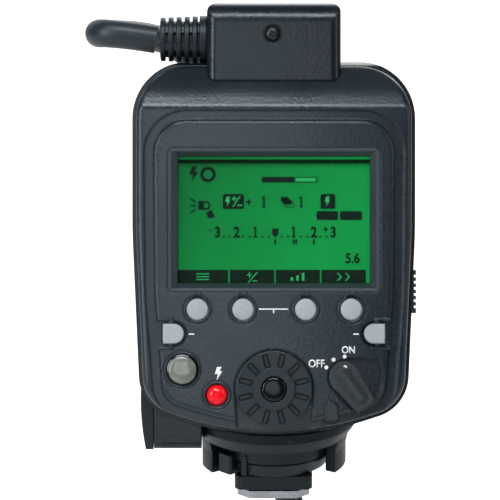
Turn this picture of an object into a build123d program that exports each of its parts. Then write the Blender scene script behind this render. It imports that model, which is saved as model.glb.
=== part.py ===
"""Macro ring flash: a control unit on a hot-shoe foot, its lead, and the ring head it feeds.

Millimetres, +Z up. The origin is the centre of the shoe plate's underside. The display side of the
control unit faces -Y, and the unit leans forward, away from its user.
"""

import math
import os

from build123d import *

os.makedirs("parts", exist_ok=True)

# The control unit stands in its own frame: x to the right, w into the unit from the display side, v up
lean = 18.0
lean_sine = math.sin(math.radians(lean))
lean_cosine = math.cos(math.radians(lean))
up = Vector(0, lean_sine, lean_cosine)
inward = Vector(0, lean_cosine, -lean_sine)

# Clearances
running_gap = 0.08
seat_gap = 0.05
cover_gap = 0.2

# Outline of the control unit, seen from the display side
half_width = 36.0
low_half_width = 34.0
hip_height = 66.0
low_corner_height = 21.4
top_corner_radius = 14.5
low_corner_radius = 11.0
belly_height = 14.3
belly_half_width = 24.0
belly_rise = 3.9
hip_radius = 200.0

# Depths of the control unit, from the display side to the front
rear_face = -33.2
island_face = -34.0
seam = -24.0
front_face = 37.5
crest_low_slope = 28.0
crest_slope = 46.0
crest_low_radius = 3.0
crest_middle_radius = 18.0
crest_radius = 9.0
front_top_radius = 10.0
front_low_radius = 12.0
underside_z = 17.0
shell_wall = 2.2
rear_inset = 1.2
rear_wall = 2.0
inner_face = rear_face + rear_wall

# Raised island that carries the display and the controls
island_half_width = 30.6
island_hip_half_width = 30.2
island_low_half_width = 28.0
island_hip_height = 50.0
island_low_corner_height = 23.1
island_belly_height = 17.4
island_belly_half_width = 18.0
island_belly_rise = 2.7
island_corner_radius = 8.5
island_low_radius = 6.0
island_edge_radius = 1.1
valley_width = 2.4
valley_depth = 0.5

# Display
bezel_width = 53.4
bezel_height = 36.3
glass_width = 48.4
glass_height = 31.95
bezel_depth = 1.6
window_thickness = 1.2
module_thickness = 2.8
corner_soft = 1.6

# Heights, each from the one below it, from the belly up
dial_height = belly_height + 12.0
side_button_height = dial_height + 14.0
function_row_height = side_button_height + 6.1
display_height = function_row_height + bezel_height / 2 + 4.4
island_top_height = display_height + bezel_height / 2 + 7.2
top_height = island_top_height + 15.1
crest_start = top_height - 11.9
crest_middle = crest_start + 5.0

# Buttons
button_travel = 0.6
flange_extra = 0.7
flange_thickness = 0.8
function_columns = (-19.3, -7.8, 8.0, 19.5)
function_radius = 2.75
function_well_radius = 3.6
button_well_depth = 1.1
function_proud = 0.5
side_button_centre = 25.2
side_button_half_height = 2.5
side_button_flat = 28.0
side_channel_half_height = 3.3
side_channel_end = 31.6
mode_centre = (-23.1, side_button_height - 9.1)
mode_radius = 4.35
mode_well_radius = 4.75
mode_proud = 0.9
test_centre = (-14.4, dial_height - 1.5)
test_radius = 2.6
test_well_radius = 3.65
test_proud = 0.9

# Select dial and its set button
dial_centre = (0.0, dial_height)
dial_radius = 9.8
dial_well_radius = 10.05
dial_well_floor = -32.2
dial_face = -35.0
dial_neck_radius = 6.0
dial_neck_end = -30.4
dial_slots = 12
dial_slot_width = 1.45
dial_slot_start = 5.6
dial_slot_end = 9.0
dial_slot_depth = 0.6
dial_rib_width = 0.7
dial_hub_radius = 5.3
dial_hub_proud = 0.3
set_radius = 3.2
set_proud = 0.4
set_flange_radius = 4.2
encoder_radius = 8.2
encoder_bore_radius = 5.4

# Power switch
switch_pivot = (17.8, dial_height + 3.1)
switch_head_radius = 4.0
switch_reach = 9.55
switch_tip_high = -34.0
switch_tip_low = -73.0
switch_travel = 60.0
switch_face = -35.3
switch_ridge_face = -36.5
switch_floor = -33.0
switch_shaft_radius = 2.0
switch_washer_radius = 3.3
switch_block_side = 8.4

# Confirmation lamp on the lower lip
lamp_centre = 14.5
lamp_half_width = 1.6
lamp_top = 23.1
lamp_bottom = 18.0
lamp_face = -34.15
lamp_floor = -32.0

# Electronics
board_face = -28.2
board_thickness = 1.6
board_inset = 3.6
board_top = island_top_height - 2.3
pad_thickness = 0.6
pad_gap = 0.08
boss_radius = 1.8
boss_high = display_height + 19.05
boss_low = display_height - 15.95
boss_places = ((-29.4, boss_high), (29.4, boss_high), (-29.2, boss_low), (29.2, boss_low))
boss_hole_radius = 0.85
screw_shank_radius = 0.8
screw_head_radius = 1.6
screw_head_height = 1.0
main_board_half_width = 31.0
main_board_rear = -6.1
main_board_low = dial_height + 8.7
main_board_high = top_height - 9.0

# Battery compartment on the right
cell_radius = 7.25
cell_length = 50.5
cell_end = 32.3
tray_wall = 1.2
tray_middle = (11.7, display_height - 6.85)
tray_end_gap = 0.5
flange_x = 31.1
frame_x = 32.7
door_inner_x = 32.9
door_rear = -16.0
door_front = 27.0
door_low = tray_middle[1] - 19.7
hinge_x = 34.6
hinge_height = tray_middle[1] + 25.8
hinge_barrel_radius = 1.6
hinge_pin_radius = 0.8
knuckle_length = 5.0
slider_low = door_low + 2.6
slider_high = slider_low + 11.2
slider_rear = -3.0
slider_front = 9.0
slider_base_x = 35.0
slider_travel = 2.5
slider_proud = 1.1

# Terminal block at the lower left
block_left = -30.6
block_right = -18.4
block_rear = -20.0
block_front = 12.0
block_under_z = 15.8
block_top = 33.5
block_wall = 2.0
flap_outer = -34.0
flap_top = 31.3
flap_rear = -19.0
flap_front = 12.0
flap_barrel_radius = 1.1
flap_pin_radius = 0.5
socket_radius = 4.6

# Cable housing, boot and lead
housing_half_width = 17.0
housing_rear = -28.9
housing_front = -7.5
housing_top = top_height + 14.8
housing_low = top_height - 14.0
housing_wall = 2.0
housing_corner_radius = 2.5
housing_top_radius = 5.0
boot_depth = -19.5
boot_height = top_height + 5.85
boot_end = -29.0
boot_core_radius = 4.6
boot_root_radius = 6.0
boot_rib_radius = 5.9
boot_rib_taper = 0.08
boot_ribs = 5
boot_rib_width = 1.3
boot_rib_pitch = 2.05
boot_neck_radius = 4.1
boot_flange_radius = 5.2
boot_mouth = 2.0
cord_radius = 3.6
housing_screw_height = top_height + 6.8
housing_screw_x = -0.25

# Hot-shoe foot
plate_width = 18.6
plate_length = 18.0
plate_thickness = 2.0
plate_corner = 3.1
rail_slot_width = 12.3
rail_slot_height = 1.7
clamp_half_width = 10.0
clamp_half_length = 12.3
core_radius = 7.0
core_top = 23.0
clamp_top = 7.8
ring_top = 16.0
ring_radius = 15.5
ring_low_radius = 14.0
ring_parting = 11.4
collar_radius = 18.8
collar_flare = 3.0
collar_flare_low = 13.0
collar_flare_high = 19.5
collar_inner_radius = 16.0
collar_low = 7.6
collar_window_angle = 57.0
lever_angle = -45.0
lever_reach = 18.0
lever_low = 8.5
lever_high = 13.6
pin_radius = 1.25
pin_place = (0.0, 6.6)
contact_radius = 1.1
contact_places = ((0.0, 0.0), (-3.6, -3.4), (3.6, -3.4), (-3.6, 3.2), (3.6, 3.2))

# Ring head, ahead of the camera's shoe and below it, where a lens holds it
ring_middle_y = 97.0
ring_centre_z = -106.0
ring_outer_radius = 56.4
ring_depth = 25.4
ring_back = ring_middle_y - ring_depth / 2
ring_front = ring_middle_y + ring_depth / 2
ring_seam = ring_back + 9.7
ring_wall = 2.0
ring_inner_radius = 35.0
mount_bore_radius = 31.0
mount_length = 12.0
entry_half_width = 15.0
entry_top = 70.2
entry_base = 45.0
entry_corner = 2.4
window_inner_radius = 38.5
window_outer_radius = 53.0
window_half_angle = 62.0
diffuser_thickness = 1.8
reflector_depth = 9.0
reflector_wall = 0.9
tube_radius = 2.2
tube_ring_radius = 45.7
focus_radius = 3.6
focus_ring_radius = 45.7
release_half_width = 7.0
release_half_depth = 3.2
release_middle_y = ring_back + 5.4
release_outer = 56.2
release_inner = 46.0
release_stem_half_width = 2.5
release_stem_end = 39.8
head_board_thickness = 1.6
gland_reach_out = 62.4
gland_reach = 11.0
gland_radius = 5.4
gland_foot = 2.0
gland_neck_radius = 4.2
gland_flange_radius = 5.2
gland_flange_thickness = 1.5
gland_ribs = 3
gland_rib_start = 3.2
gland_rib_pitch = 2.7
gland_rib_width = 1.7
gland_rib_taper = 0.15
head_edge_radius = 1.6
head_screw_radius = 0.9
head_screw_head = 1.8
head_screw_length = 14.0
head_screw_recess = 1.4
head_screw_ring = 50.0
head_screw_angles = (76, 104, 256, 284)
head_rear_boss_radius = 2.6
head_front_boss_radius = 2.4


def body_point(x, w, v):
    """World point of a place given in the leaning frame."""
    return Vector(x, 0, 0) + inward * w + up * v


def rear(w):
    """Plane at depth w, seen from the display side: x right, v up, normal to the viewer."""
    return Plane(origin=body_point(0, w, 0), x_dir=(1, 0, 0), z_dir=inward * -1)


def side(x):
    """Plane across the unit at x: w and v, normal to the right."""
    return Plane(origin=body_point(x, 0, 0), x_dir=inward, z_dir=(1, 0, 0))


def level(v):
    """Plane at height v in the leaning frame: x and w, normal up the unit."""
    return Plane(origin=body_point(0, 0, v), x_dir=(1, 0, 0), z_dir=up)


def head_plane(y):
    """Plane across the ring head at y, centred on the ring: first up, then right, normal forwards."""
    return Plane(origin=(0, y, ring_centre_z), x_dir=(0, 0, 1), z_dir=(0, 1, 0))


def slab(x, w, v):
    """Block in the leaning frame, each span given as its two ends."""
    with BuildPart() as piece:
        with BuildSketch(level(v[0])):
            with Locations(((x[0] + x[1]) / 2, (w[0] + w[1]) / 2)):
                Rectangle(x[1] - x[0], w[1] - w[0])
        extrude(amount=v[1] - v[0])
    return piece.part


def rod(plane, centre, radius, length):
    """Cylinder of a radius that rises from a plane."""
    with BuildPart() as piece:
        with BuildSketch(plane):
            with Locations(centre):
                Circle(radius)
        extrude(amount=length)
    return piece.part


def save(piece, label):
    """Name a finished piece and write it."""
    piece.part.label = label
    export_step(piece.part, f"parts/{label}.step")


def body_outline(inset):
    """Outline of the control unit from the display side, drawn in by inset."""
    shoulder = (belly_half_width, belly_height + belly_rise)
    with BuildSketch() as outline:
        with BuildLine():
            belly = ThreePointArc(
                (-shoulder[0], shoulder[1]), (0, belly_height), shoulder
            )
            FilletPolyline(
                belly @ 1,
                (low_half_width, low_corner_height),
                (half_width, hip_height),
                (half_width, top_height),
                (-half_width, top_height),
                (-half_width, hip_height),
                (-low_half_width, low_corner_height),
                belly @ 0,
                radius=[
                    low_corner_radius,
                    hip_radius,
                    top_corner_radius,
                    top_corner_radius,
                    hip_radius,
                    low_corner_radius,
                ],
            )
        make_face()
        if inset:
            offset(amount=-inset)
    return outline.sketch


def underside_height(w, z):
    """Height in the leaning frame of the world level z at depth w."""
    return (z + w * lean_sine) / lean_cosine


crest_turn = rear_face + (crest_middle - crest_start) * math.tan(math.radians(crest_low_slope))
crest_top = crest_turn + (top_height - crest_middle) * math.tan(math.radians(crest_slope))


def body_profile(inset):
    """Side profile of the control unit, as depth and height, drawn in by inset."""
    with BuildSketch() as profile:
        with BuildLine():
            FilletPolyline(
                (rear_face, underside_height(rear_face, underside_z)),
                (rear_face, crest_start),
                (crest_turn, crest_middle),
                (crest_top, top_height),
                (front_face, top_height),
                (front_face, underside_height(front_face, underside_z)),
                radius=[0, crest_low_radius, crest_middle_radius, crest_radius, front_top_radius, front_low_radius],
                close=True,
            )
        make_face()
        if inset:
            offset(amount=-inset)
    return profile.sketch


def shell_form(outline_inset, profile_inset, rear_end, front_end):
    """Envelope of the control unit between two depths."""
    with BuildPart() as form:
        with BuildSketch(rear(front_end)):
            add(body_outline(outline_inset))
        extrude(amount=front_end - rear_end)
        with BuildSketch(side(-2 * half_width)):
            add(body_profile(profile_inset))
        extrude(amount=4 * half_width, mode=Mode.INTERSECT)
    return form.part


def island_outline(grow):
    """Outline of the raised island, grown by a distance."""
    shoulder = (island_belly_half_width, island_belly_height + island_belly_rise)
    with BuildSketch() as outline:
        with BuildLine():
            belly = ThreePointArc(
                (-shoulder[0], shoulder[1]), (0, island_belly_height), shoulder
            )
            FilletPolyline(
                belly @ 1,
                (island_low_half_width, island_low_corner_height),
                (island_hip_half_width, island_hip_height),
                (island_half_width, island_top_height),
                (-island_half_width, island_top_height),
                (-island_hip_half_width, island_hip_height),
                (-island_low_half_width, island_low_corner_height),
                belly @ 0,
                radius=[
                    island_low_radius,
                    hip_radius / 2,
                    island_corner_radius,
                    island_corner_radius,
                    hip_radius / 2,
                    island_low_radius,
                ],
            )
        make_face()
        if grow:
            offset(amount=grow)
    return outline.sketch


def side_button_shape(direction, grow):
    """D shape of a side button, flat end outwards; direction is -1 on the left and 1 on the right."""
    with BuildSketch() as shape:
        flat = side_button_flat + grow
        with Locations((direction * (side_button_centre + flat) / 2, side_button_height)):
            Rectangle(flat - side_button_centre, 2 * (side_button_half_height + grow))
        with Locations((direction * side_button_centre, side_button_height)):
            Circle(side_button_half_height + grow)
    return shape.sketch


def switch_point(reach, degrees):
    """Point round the power switch's pivot."""
    turn = math.radians(degrees)
    return (
        switch_pivot[0] + reach * math.cos(turn),
        switch_pivot[1] + reach * math.sin(turn),
    )


def switch_blade():
    """Outline of the power switch: a round head and a blade that widens to its tip."""
    middle = (switch_tip_high + switch_tip_low) / 2
    spread = 90.0
    with BuildSketch() as blade:
        with Locations(switch_pivot):
            Circle(switch_head_radius)
        with BuildLine():
            tip = ThreePointArc(
                switch_point(switch_reach, switch_tip_low + 3),
                switch_point(switch_reach, middle),
                switch_point(switch_reach, switch_tip_high - 3),
            )
            Polyline(
                tip @ 1,
                switch_point(switch_head_radius - 0.02, middle + spread),
                switch_point(switch_head_radius - 0.02, middle - spread),
                tip @ 0,
            )
        make_face()
    return blade.sketch


def switch_well():
    """Outline of the recess that the power switch sweeps."""
    reach = switch_reach + cover_gap
    high = switch_tip_high + switch_travel + 3
    low = switch_tip_low - 1.5
    head = switch_head_radius + cover_gap
    with BuildSketch() as well:
        with Locations(switch_pivot):
            Circle(head)
        with BuildLine():
            rim = ThreePointArc(
                switch_point(reach, low),
                switch_point(reach, (low + high) / 2),
                switch_point(reach, high),
            )
            Polyline(
                rim @ 1,
                (switch_pivot[0], (rim @ 1).Y),
                switch_point(head - 0.02, 160),
                switch_point(head - 0.02, (switch_tip_high + switch_tip_low) / 2 - 92),
                rim @ 0,
            )
        make_face()
    return well.sketch


def lamp_shape(grow):
    """Outline of the confirmation lamp's lens: straight sides and a round top."""
    half = lamp_half_width + grow
    middle = lamp_top - lamp_half_width
    with BuildSketch() as shape:
        with Locations((lamp_centre, (middle + lamp_bottom) / 2)):
            Rectangle(2 * half, middle - lamp_bottom)
        with Locations((lamp_centre, middle)):
            Circle(half)
    return shape.sketch


def bored(plane, centre, outer, inner, length):
    """Plain tube that rises from a plane."""
    with BuildPart() as piece:
        with BuildSketch(plane):
            with Locations(centre):
                Circle(outer)
                Circle(inner, mode=Mode.SUBTRACT)
        extrude(amount=length)
    return piece.part


round_buttons = [(x, function_row_height, function_radius, function_well_radius) for x in function_columns]
round_buttons.append((*mode_centre, mode_radius, mode_well_radius))
round_buttons.append((*test_centre, test_radius, test_well_radius))

# Rear cover: the display side of the shell, with its island, wells and holes
with BuildPart() as rear_cover:
    add(shell_form(rear_inset, 0, rear_face, seam))
    fillet(
        rear_cover.faces().sort_by(Axis(body_point(0, 0, 0), inward))[0].edges().filter_by_position(
            Axis(body_point(0, 0, 0), up), 0, crest_start - 2
        ),
        radius=1.6,
    )
    add(shell_form(rear_inset + rear_wall, rear_wall, rear_face, seam + 1), mode=Mode.SUBTRACT)
    with BuildSketch(rear(rear_face)):
        add(island_outline(valley_width))
    extrude(amount=-valley_depth, mode=Mode.SUBTRACT)
    with BuildSketch(rear(inner_face)):
        add(island_outline(0))
    extrude(amount=inner_face - island_face)
    fillet(
        rear_cover.faces().sort_by(Axis(body_point(0, 0, 0), inward))[0].edges(),
        radius=island_edge_radius,
    )
    with BuildSketch(rear(inner_face)):
        with Locations((0, display_height)):
            RectangleRounded(bezel_width + 2 * seat_gap, bezel_height + 2 * seat_gap, corner_soft)
    extrude(amount=20, mode=Mode.SUBTRACT)
    for x, v, radius, well in round_buttons:
        with BuildSketch(rear(island_face + button_well_depth)):
            with Locations((x, v)):
                Circle(well)
        extrude(amount=20, mode=Mode.SUBTRACT)
        with BuildSketch(rear(inner_face)):
            with Locations((x, v)):
                Circle(radius + running_gap)
        extrude(amount=20, mode=Mode.SUBTRACT)
    for direction in (-1, 1):
        with BuildSketch(rear(island_face + button_well_depth)):
            with Locations((direction * (side_button_centre + side_channel_end) / 2, side_button_height)):
                Rectangle(side_channel_end - side_button_centre, 2 * side_channel_half_height)
            with Locations((direction * side_button_centre, side_button_height)):
                Circle(side_channel_half_height)
        extrude(amount=20, mode=Mode.SUBTRACT)
        with BuildSketch(rear(inner_face)):
            add(side_button_shape(direction, running_gap))
        extrude(amount=20, mode=Mode.SUBTRACT)
    with BuildSketch(rear(dial_well_floor)):
        with Locations(dial_centre):
            Circle(dial_well_radius)
        with BuildLine():
            Polyline(
                (-dial_well_radius, dial_centre[1]),
                (dial_well_radius, dial_centre[1]),
                (dial_well_radius - 1.0, belly_height - 2),
                (1.0 - dial_well_radius, belly_height - 2),
                close=True,
            )
        make_face()
    extrude(amount=20, mode=Mode.SUBTRACT)
    with BuildSketch(rear(inner_face)):
        with Locations(dial_centre):
            Circle(dial_neck_radius + running_gap)
    extrude(amount=20, mode=Mode.SUBTRACT)
    with BuildSketch(rear(switch_floor + running_gap)):
        add(switch_well())
    extrude(amount=20, mode=Mode.SUBTRACT)
    with BuildSketch(rear(inner_face)):
        with Locations(switch_pivot):
            Circle(switch_shaft_radius + running_gap)
    extrude(amount=20, mode=Mode.SUBTRACT)
    with BuildSketch(rear(lamp_floor)):
        add(lamp_shape(seat_gap))
    extrude(amount=20, mode=Mode.SUBTRACT)
    for place in boss_places:
        add(bored(rear(board_face), place, boss_radius, boss_hole_radius, board_face - inner_face))
save(rear_cover, "rear_cover")

# Front cover: the deep half of the shell, with the battery window and the terminal block
pin_start = door_rear - 2.5
pin_end = door_front + 2.5
with BuildPart() as front_cover:
    add(shell_form(0, 0, seam, front_face))
    with BuildSketch(side(block_left)):
        with BuildLine():
            Polyline(
                (block_rear, underside_height(block_rear, block_under_z)),
                (block_front, underside_height(block_front, block_under_z)),
                (block_front, block_top),
                (block_rear, block_top),
                close=True,
            )
        make_face()
    extrude(amount=block_right - block_left)
    fillet(front_cover.edges().filter_by(Axis.X).group_by(Axis.Z)[0], radius=1.5)
    with BuildSketch(side(block_left)):
        with BuildLine():
            Polyline(
                (block_rear + block_wall, underside_height(block_rear, block_under_z + block_wall) + 0.7),
                (block_front - block_wall, underside_height(block_front, block_under_z + block_wall)),
                (block_front - block_wall, block_top),
                (block_rear + block_wall, block_top),
                close=True,
            )
        make_face()
    extrude(amount=block_right - block_wall - block_left, mode=Mode.SUBTRACT)
    add(shell_form(shell_wall, shell_wall, seam - 1, front_face), mode=Mode.SUBTRACT)
    add(
        slab((-2 * half_width, block_left), (block_rear, block_front + cover_gap), (0, flap_top + cover_gap)),
        mode=Mode.SUBTRACT,
    )
    with BuildSketch(side(block_left)):
        with BuildLine():
            Polyline(
                (block_rear, underside_height(block_rear, block_under_z) + 1.4),
                (block_front, underside_height(block_front, block_under_z) + 1.4),
                (block_front, block_top),
                (block_rear, block_top),
                close=True,
            )
        make_face()
    extrude(amount=block_wall)
    frame = shell_form(0.3, 0.3, door_rear - 3, door_front + 3)
    frame_depths = (door_rear - 3, door_front + 3)
    frame = frame & slab((frame_x, 2 * half_width), frame_depths, (door_low - 3, hinge_height + 4))
    add(frame)
    add(
        slab(
            (frame_x - 1, 2 * half_width),
            (door_rear - cover_gap, door_front + cover_gap),
            (door_low - cover_gap, hinge_height),
        ),
        mode=Mode.SUBTRACT,
    )
    add(
        rod(
            rear(door_front + cover_gap),
            (hinge_x, hinge_height),
            hinge_barrel_radius + cover_gap,
            door_front - door_rear + 2 * cover_gap,
        ),
        mode=Mode.SUBTRACT,
    )
    for end in (door_rear + knuckle_length, door_front + cover_gap):
        add(rod(rear(end), (hinge_x, hinge_height), hinge_barrel_radius, knuckle_length + cover_gap))
    add(
        rod(rear(pin_end), (hinge_x, hinge_height), hinge_pin_radius + seat_gap, pin_end - pin_start),
        mode=Mode.SUBTRACT,
    )
    add(
        rod(
            level(top_height - 2 * shell_wall), (0, (housing_rear + housing_front) / 2 + 3), 5.0, 4 * shell_wall
        ),
        mode=Mode.SUBTRACT,
    )
    add(
        rod(
            side(boot_end - 1),
            (boot_depth, boot_height),
            boot_root_radius + cover_gap,
            1 - housing_half_width - boot_end,
        ),
        mode=Mode.SUBTRACT,
    )
    with BuildSketch(Plane.XY.offset(underside_z - 6)):
        Circle(core_radius + seat_gap)
    extrude(amount=20, mode=Mode.SUBTRACT)
    flap_hinge = (flap_outer + flap_barrel_radius + 0.2, flap_front - flap_barrel_radius)
    add(
        rod(level(5), flap_hinge, flap_pin_radius + seat_gap, flap_top + 2 - 5),
        mode=Mode.SUBTRACT,
    )
    with BuildSketch(side(block_left)):
        with Locations(((block_rear + block_front) / 2 - 4, 22.5)):
            Circle(socket_radius + seat_gap)
    extrude(amount=block_wall, mode=Mode.SUBTRACT)
save(front_cover, "front_cover")

# Display: bevelled frame, window and module
with BuildPart() as display_bezel:
    with BuildSketch(rear(island_face + bezel_depth)):
        with Locations((0, display_height)):
            RectangleRounded(bezel_width, bezel_height, corner_soft - seat_gap)
    extrude(amount=bezel_depth)
    with BuildSketch(rear(island_face + bezel_depth)):
        with Locations((0, display_height)):
            Rectangle(glass_width, glass_height)
    with BuildSketch(rear(island_face)):
        with Locations((0, display_height)):
            Rectangle(bezel_width - corner_soft, bezel_height - corner_soft)
    loft(mode=Mode.SUBTRACT)
save(display_bezel, "display_bezel")

window_face = island_face + bezel_depth
with BuildPart() as display_window:
    with BuildSketch(rear(window_face + window_thickness)):
        with Locations((0, display_height)):
            RectangleRounded(bezel_width - 0.4, bezel_height - 0.4, corner_soft)
    extrude(amount=window_thickness)
save(display_window, "display_window")

module_face = window_face + window_thickness
with BuildPart() as display_module:
    with BuildSketch(rear(module_face + module_thickness)):
        with Locations((0, display_height)):
            Rectangle(glass_width + 2, glass_height + 2)
    extrude(amount=module_thickness)
save(display_module, "display_module")


def round_button(centre, radius, proud, crown, back):
    """Button that slides in a round hole: a crowned head and a flange behind the wall."""
    x, v = centre
    face = island_face - proud
    flange = radius + flange_extra
    with BuildPart() as button:
        with BuildSketch(side(x)):
            with BuildLine():
                top = ThreePointArc(
                    (face, v),
                    (face + crown * 0.27, v + (radius - 0.3) * 0.52),
                    (face + crown, v + radius - 0.3),
                )
                Polyline(
                    top @ 1,
                    (face + crown + 0.3, v + radius),
                    (inner_face + seat_gap, v + radius),
                    (inner_face + seat_gap, v + flange),
                    (back, v + flange),
                    (back, v),
                    top @ 0,
                )
            make_face()
        revolve(axis=Axis(body_point(x, 0, v), inward))
    return button


flange_back = inner_face + seat_gap + flange_thickness
for number, column in enumerate(function_columns, start=1):
    function_button = round_button(
        (column, function_row_height), function_radius, function_proud, 0.25, flange_back
    )
    save(function_button, f"function_button_{number}")

for direction, label in ((-1, "lamp_button"), (1, "ratio_button")):
    with BuildPart() as side_button:
        with BuildSketch(rear(inner_face + seat_gap)):
            add(side_button_shape(direction, 0))
        extrude(amount=inner_face + seat_gap - island_face + function_proud)
        fillet(side_button.faces().sort_by(Axis(body_point(0, 0, 0), inward))[0].edges(), radius=0.35)
        with BuildSketch(rear(flange_back)):
            add(side_button_shape(direction, flange_extra))
        extrude(amount=flange_thickness)
    save(side_button, label)

mode_button = round_button(mode_centre, mode_radius, mode_proud, 1.1, flange_back)
save(mode_button, "mode_button")
test_button = round_button(test_centre, test_radius, test_proud, 1.0, flange_back)
save(test_button, "test_button")

# Select dial: a ribbed disc on a neck, bored for the set button
with BuildPart() as select_dial:
    with BuildSketch(rear(dial_well_floor - cover_gap)):
        with Locations(dial_centre):
            Circle(dial_radius)
    extrude(amount=dial_well_floor - cover_gap - dial_face)
    fillet(select_dial.faces().sort_by(Axis(body_point(0, 0, 0), inward))[0].edges(), radius=0.4)
    slot_middle = (dial_slot_start + dial_slot_end) / 2
    slot_length = dial_slot_end - dial_slot_start
    with BuildSketch(rear(dial_face + dial_slot_depth)):
        with Locations(dial_centre):
            with PolarLocations(slot_middle, dial_slots, start_angle=180 / dial_slots):
                Rectangle(slot_length, dial_slot_width)
    extrude(amount=2 * dial_slot_depth, mode=Mode.SUBTRACT)
    with BuildSketch(rear(dial_face + dial_slot_depth)):
        with Locations(dial_centre):
            with PolarLocations(slot_middle, dial_slots, start_angle=180 / dial_slots):
                Rectangle(slot_length - 0.5, dial_rib_width)
    extrude(amount=dial_slot_depth + 0.15)
    with BuildSketch(rear(dial_face + 0.4)):
        with Locations(dial_centre):
            Circle(dial_hub_radius)
    extrude(amount=0.4 + dial_hub_proud)
    with BuildSketch(rear(dial_neck_end)):
        with Locations(dial_centre):
            Circle(dial_neck_radius)
    extrude(amount=dial_neck_end - dial_well_floor + cover_gap)
    with BuildSketch(rear(dial_neck_end)):
        with Locations(dial_centre):
            Circle(set_radius + running_gap)
    extrude(amount=10, mode=Mode.SUBTRACT)
save(select_dial, "select_dial")

with BuildPart() as set_button:
    with BuildSketch(side(dial_centre[0])):
        set_face = dial_face - dial_hub_proud - set_proud
        set_back = dial_neck_end + seat_gap
        with BuildLine():
            dome = ThreePointArc(
                (set_face, dial_centre[1]),
                (set_face + 0.2, dial_centre[1] + 1.6),
                (set_face + 0.8, dial_centre[1] + set_radius),
            )
            Polyline(
                dome @ 1,
                (set_back, dial_centre[1] + set_radius),
                (set_back, dial_centre[1] + set_flange_radius),
                (set_back + 0.5, dial_centre[1] + set_flange_radius),
                (set_back + 0.5, dial_centre[1]),
                dome @ 0,
            )
        make_face()
    revolve(axis=Axis(body_point(dial_centre[0], 0, dial_centre[1]), inward))
save(set_button, "set_button")

pad_back = board_face - seat_gap
pad_face = pad_back - pad_thickness
# Power switch: hub, blade and grip ridge on a shaft
with BuildPart() as power_switch:
    with BuildSketch(rear(switch_floor)):
        add(switch_blade())
    extrude(amount=switch_floor - switch_face)
    blade_middle = (switch_tip_high + switch_tip_low) / 2
    with BuildSketch(rear(switch_face + 0.2)) as ridge_foot:
        with Locations(switch_point(2.6, blade_middle)):
            SlotOverall(11.0, 3.4, rotation=blade_middle)
    with BuildSketch(rear(switch_ridge_face)) as ridge_top:
        with Locations(switch_point(2.6, blade_middle)):
            SlotOverall(9.6, 1.9, rotation=blade_middle)
    loft(sections=[ridge_foot.sketch, ridge_top.sketch])
    with BuildSketch(rear(inner_face + seat_gap)):
        with Locations(switch_pivot):
            Circle(switch_shaft_radius)
    extrude(amount=inner_face + seat_gap - switch_floor)
    with BuildSketch(rear(flange_back)):
        with Locations(switch_pivot):
            Circle(switch_washer_radius)
    extrude(amount=flange_thickness)
save(power_switch, "power_switch")

# Encoder ring behind the dial and switch block behind the power switch, both on the panel's board
with BuildPart() as rotary_switches:
    encoder_depth = pad_back - dial_neck_end - 0.1
    add(bored(rear(pad_back), dial_centre, encoder_radius, encoder_bore_radius, encoder_depth))
    with BuildSketch(rear(pad_back)):
        with Locations(switch_pivot):
            Rectangle(switch_block_side, switch_block_side)
    extrude(amount=pad_back - flange_back - 0.3)
save(rotary_switches, "rotary_switches")

with BuildPart() as confirmation_lamp:
    with BuildSketch(rear(lamp_floor - seat_gap)):
        add(lamp_shape(0))
    extrude(amount=lamp_floor - seat_gap - lamp_face)
    fillet(confirmation_lamp.faces().sort_by(Axis(body_point(0, 0, 0), inward))[0].edges(), radius=0.4)
save(confirmation_lamp, "confirmation_lamp")

# Rubber contact pad behind the buttons and the panel's circuit board
with BuildPart() as button_pad:
    with BuildSketch(rear(pad_back)):
        add(body_outline(board_inset + 0.6))
        with Locations((0, 60 + board_top / 2)):
            Rectangle(4 * half_width, board_top + 20.8, mode=Mode.SUBTRACT)
        with Locations(dial_centre):
            Circle(encoder_radius + pad_gap, mode=Mode.SUBTRACT)
        with Locations(switch_pivot):
            Rectangle(switch_block_side + 2 * pad_gap, switch_block_side + 2 * pad_gap, mode=Mode.SUBTRACT)
    extrude(amount=pad_thickness)
    dome_places = [(x, v, radius) for x, v, radius, well in round_buttons]
    dome_places += [(direction * side_button_centre, side_button_height, 2.4) for direction in (-1, 1)]
    for x, v, radius in dome_places:
        add(rod(rear(pad_face), (x, v), radius * 0.6, pad_face - flange_back - button_travel - 0.05))
save(button_pad, "button_pad")

with BuildPart() as panel_board:
    with BuildSketch(rear(board_face + board_thickness)):
        add(body_outline(board_inset))
        with Locations((0, board_top + 20)):
            Rectangle(4 * half_width, 40, mode=Mode.SUBTRACT)
        with Locations(*boss_places):
            Circle(screw_shank_radius + 0.15, mode=Mode.SUBTRACT)
    extrude(amount=board_thickness)
save(panel_board, "panel_circuit_board")

board_back = board_face + board_thickness
with BuildPart() as panel_screws:
    for place in boss_places:
        add(rod(rear(board_back + seat_gap), place, screw_shank_radius, 4.2))
        with BuildSketch(rear(board_back + seat_gap + screw_head_height)):
            with Locations(place):
                Circle(screw_head_radius)
        extrude(amount=screw_head_height)
        with BuildSketch(rear(board_back + seat_gap + screw_head_height)):
            with Locations(place):
                Rectangle(1.8, 0.45)
                Rectangle(0.45, 1.8)
        extrude(amount=0.6, mode=Mode.SUBTRACT)
save(panel_screws, "panel_screws")

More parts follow.
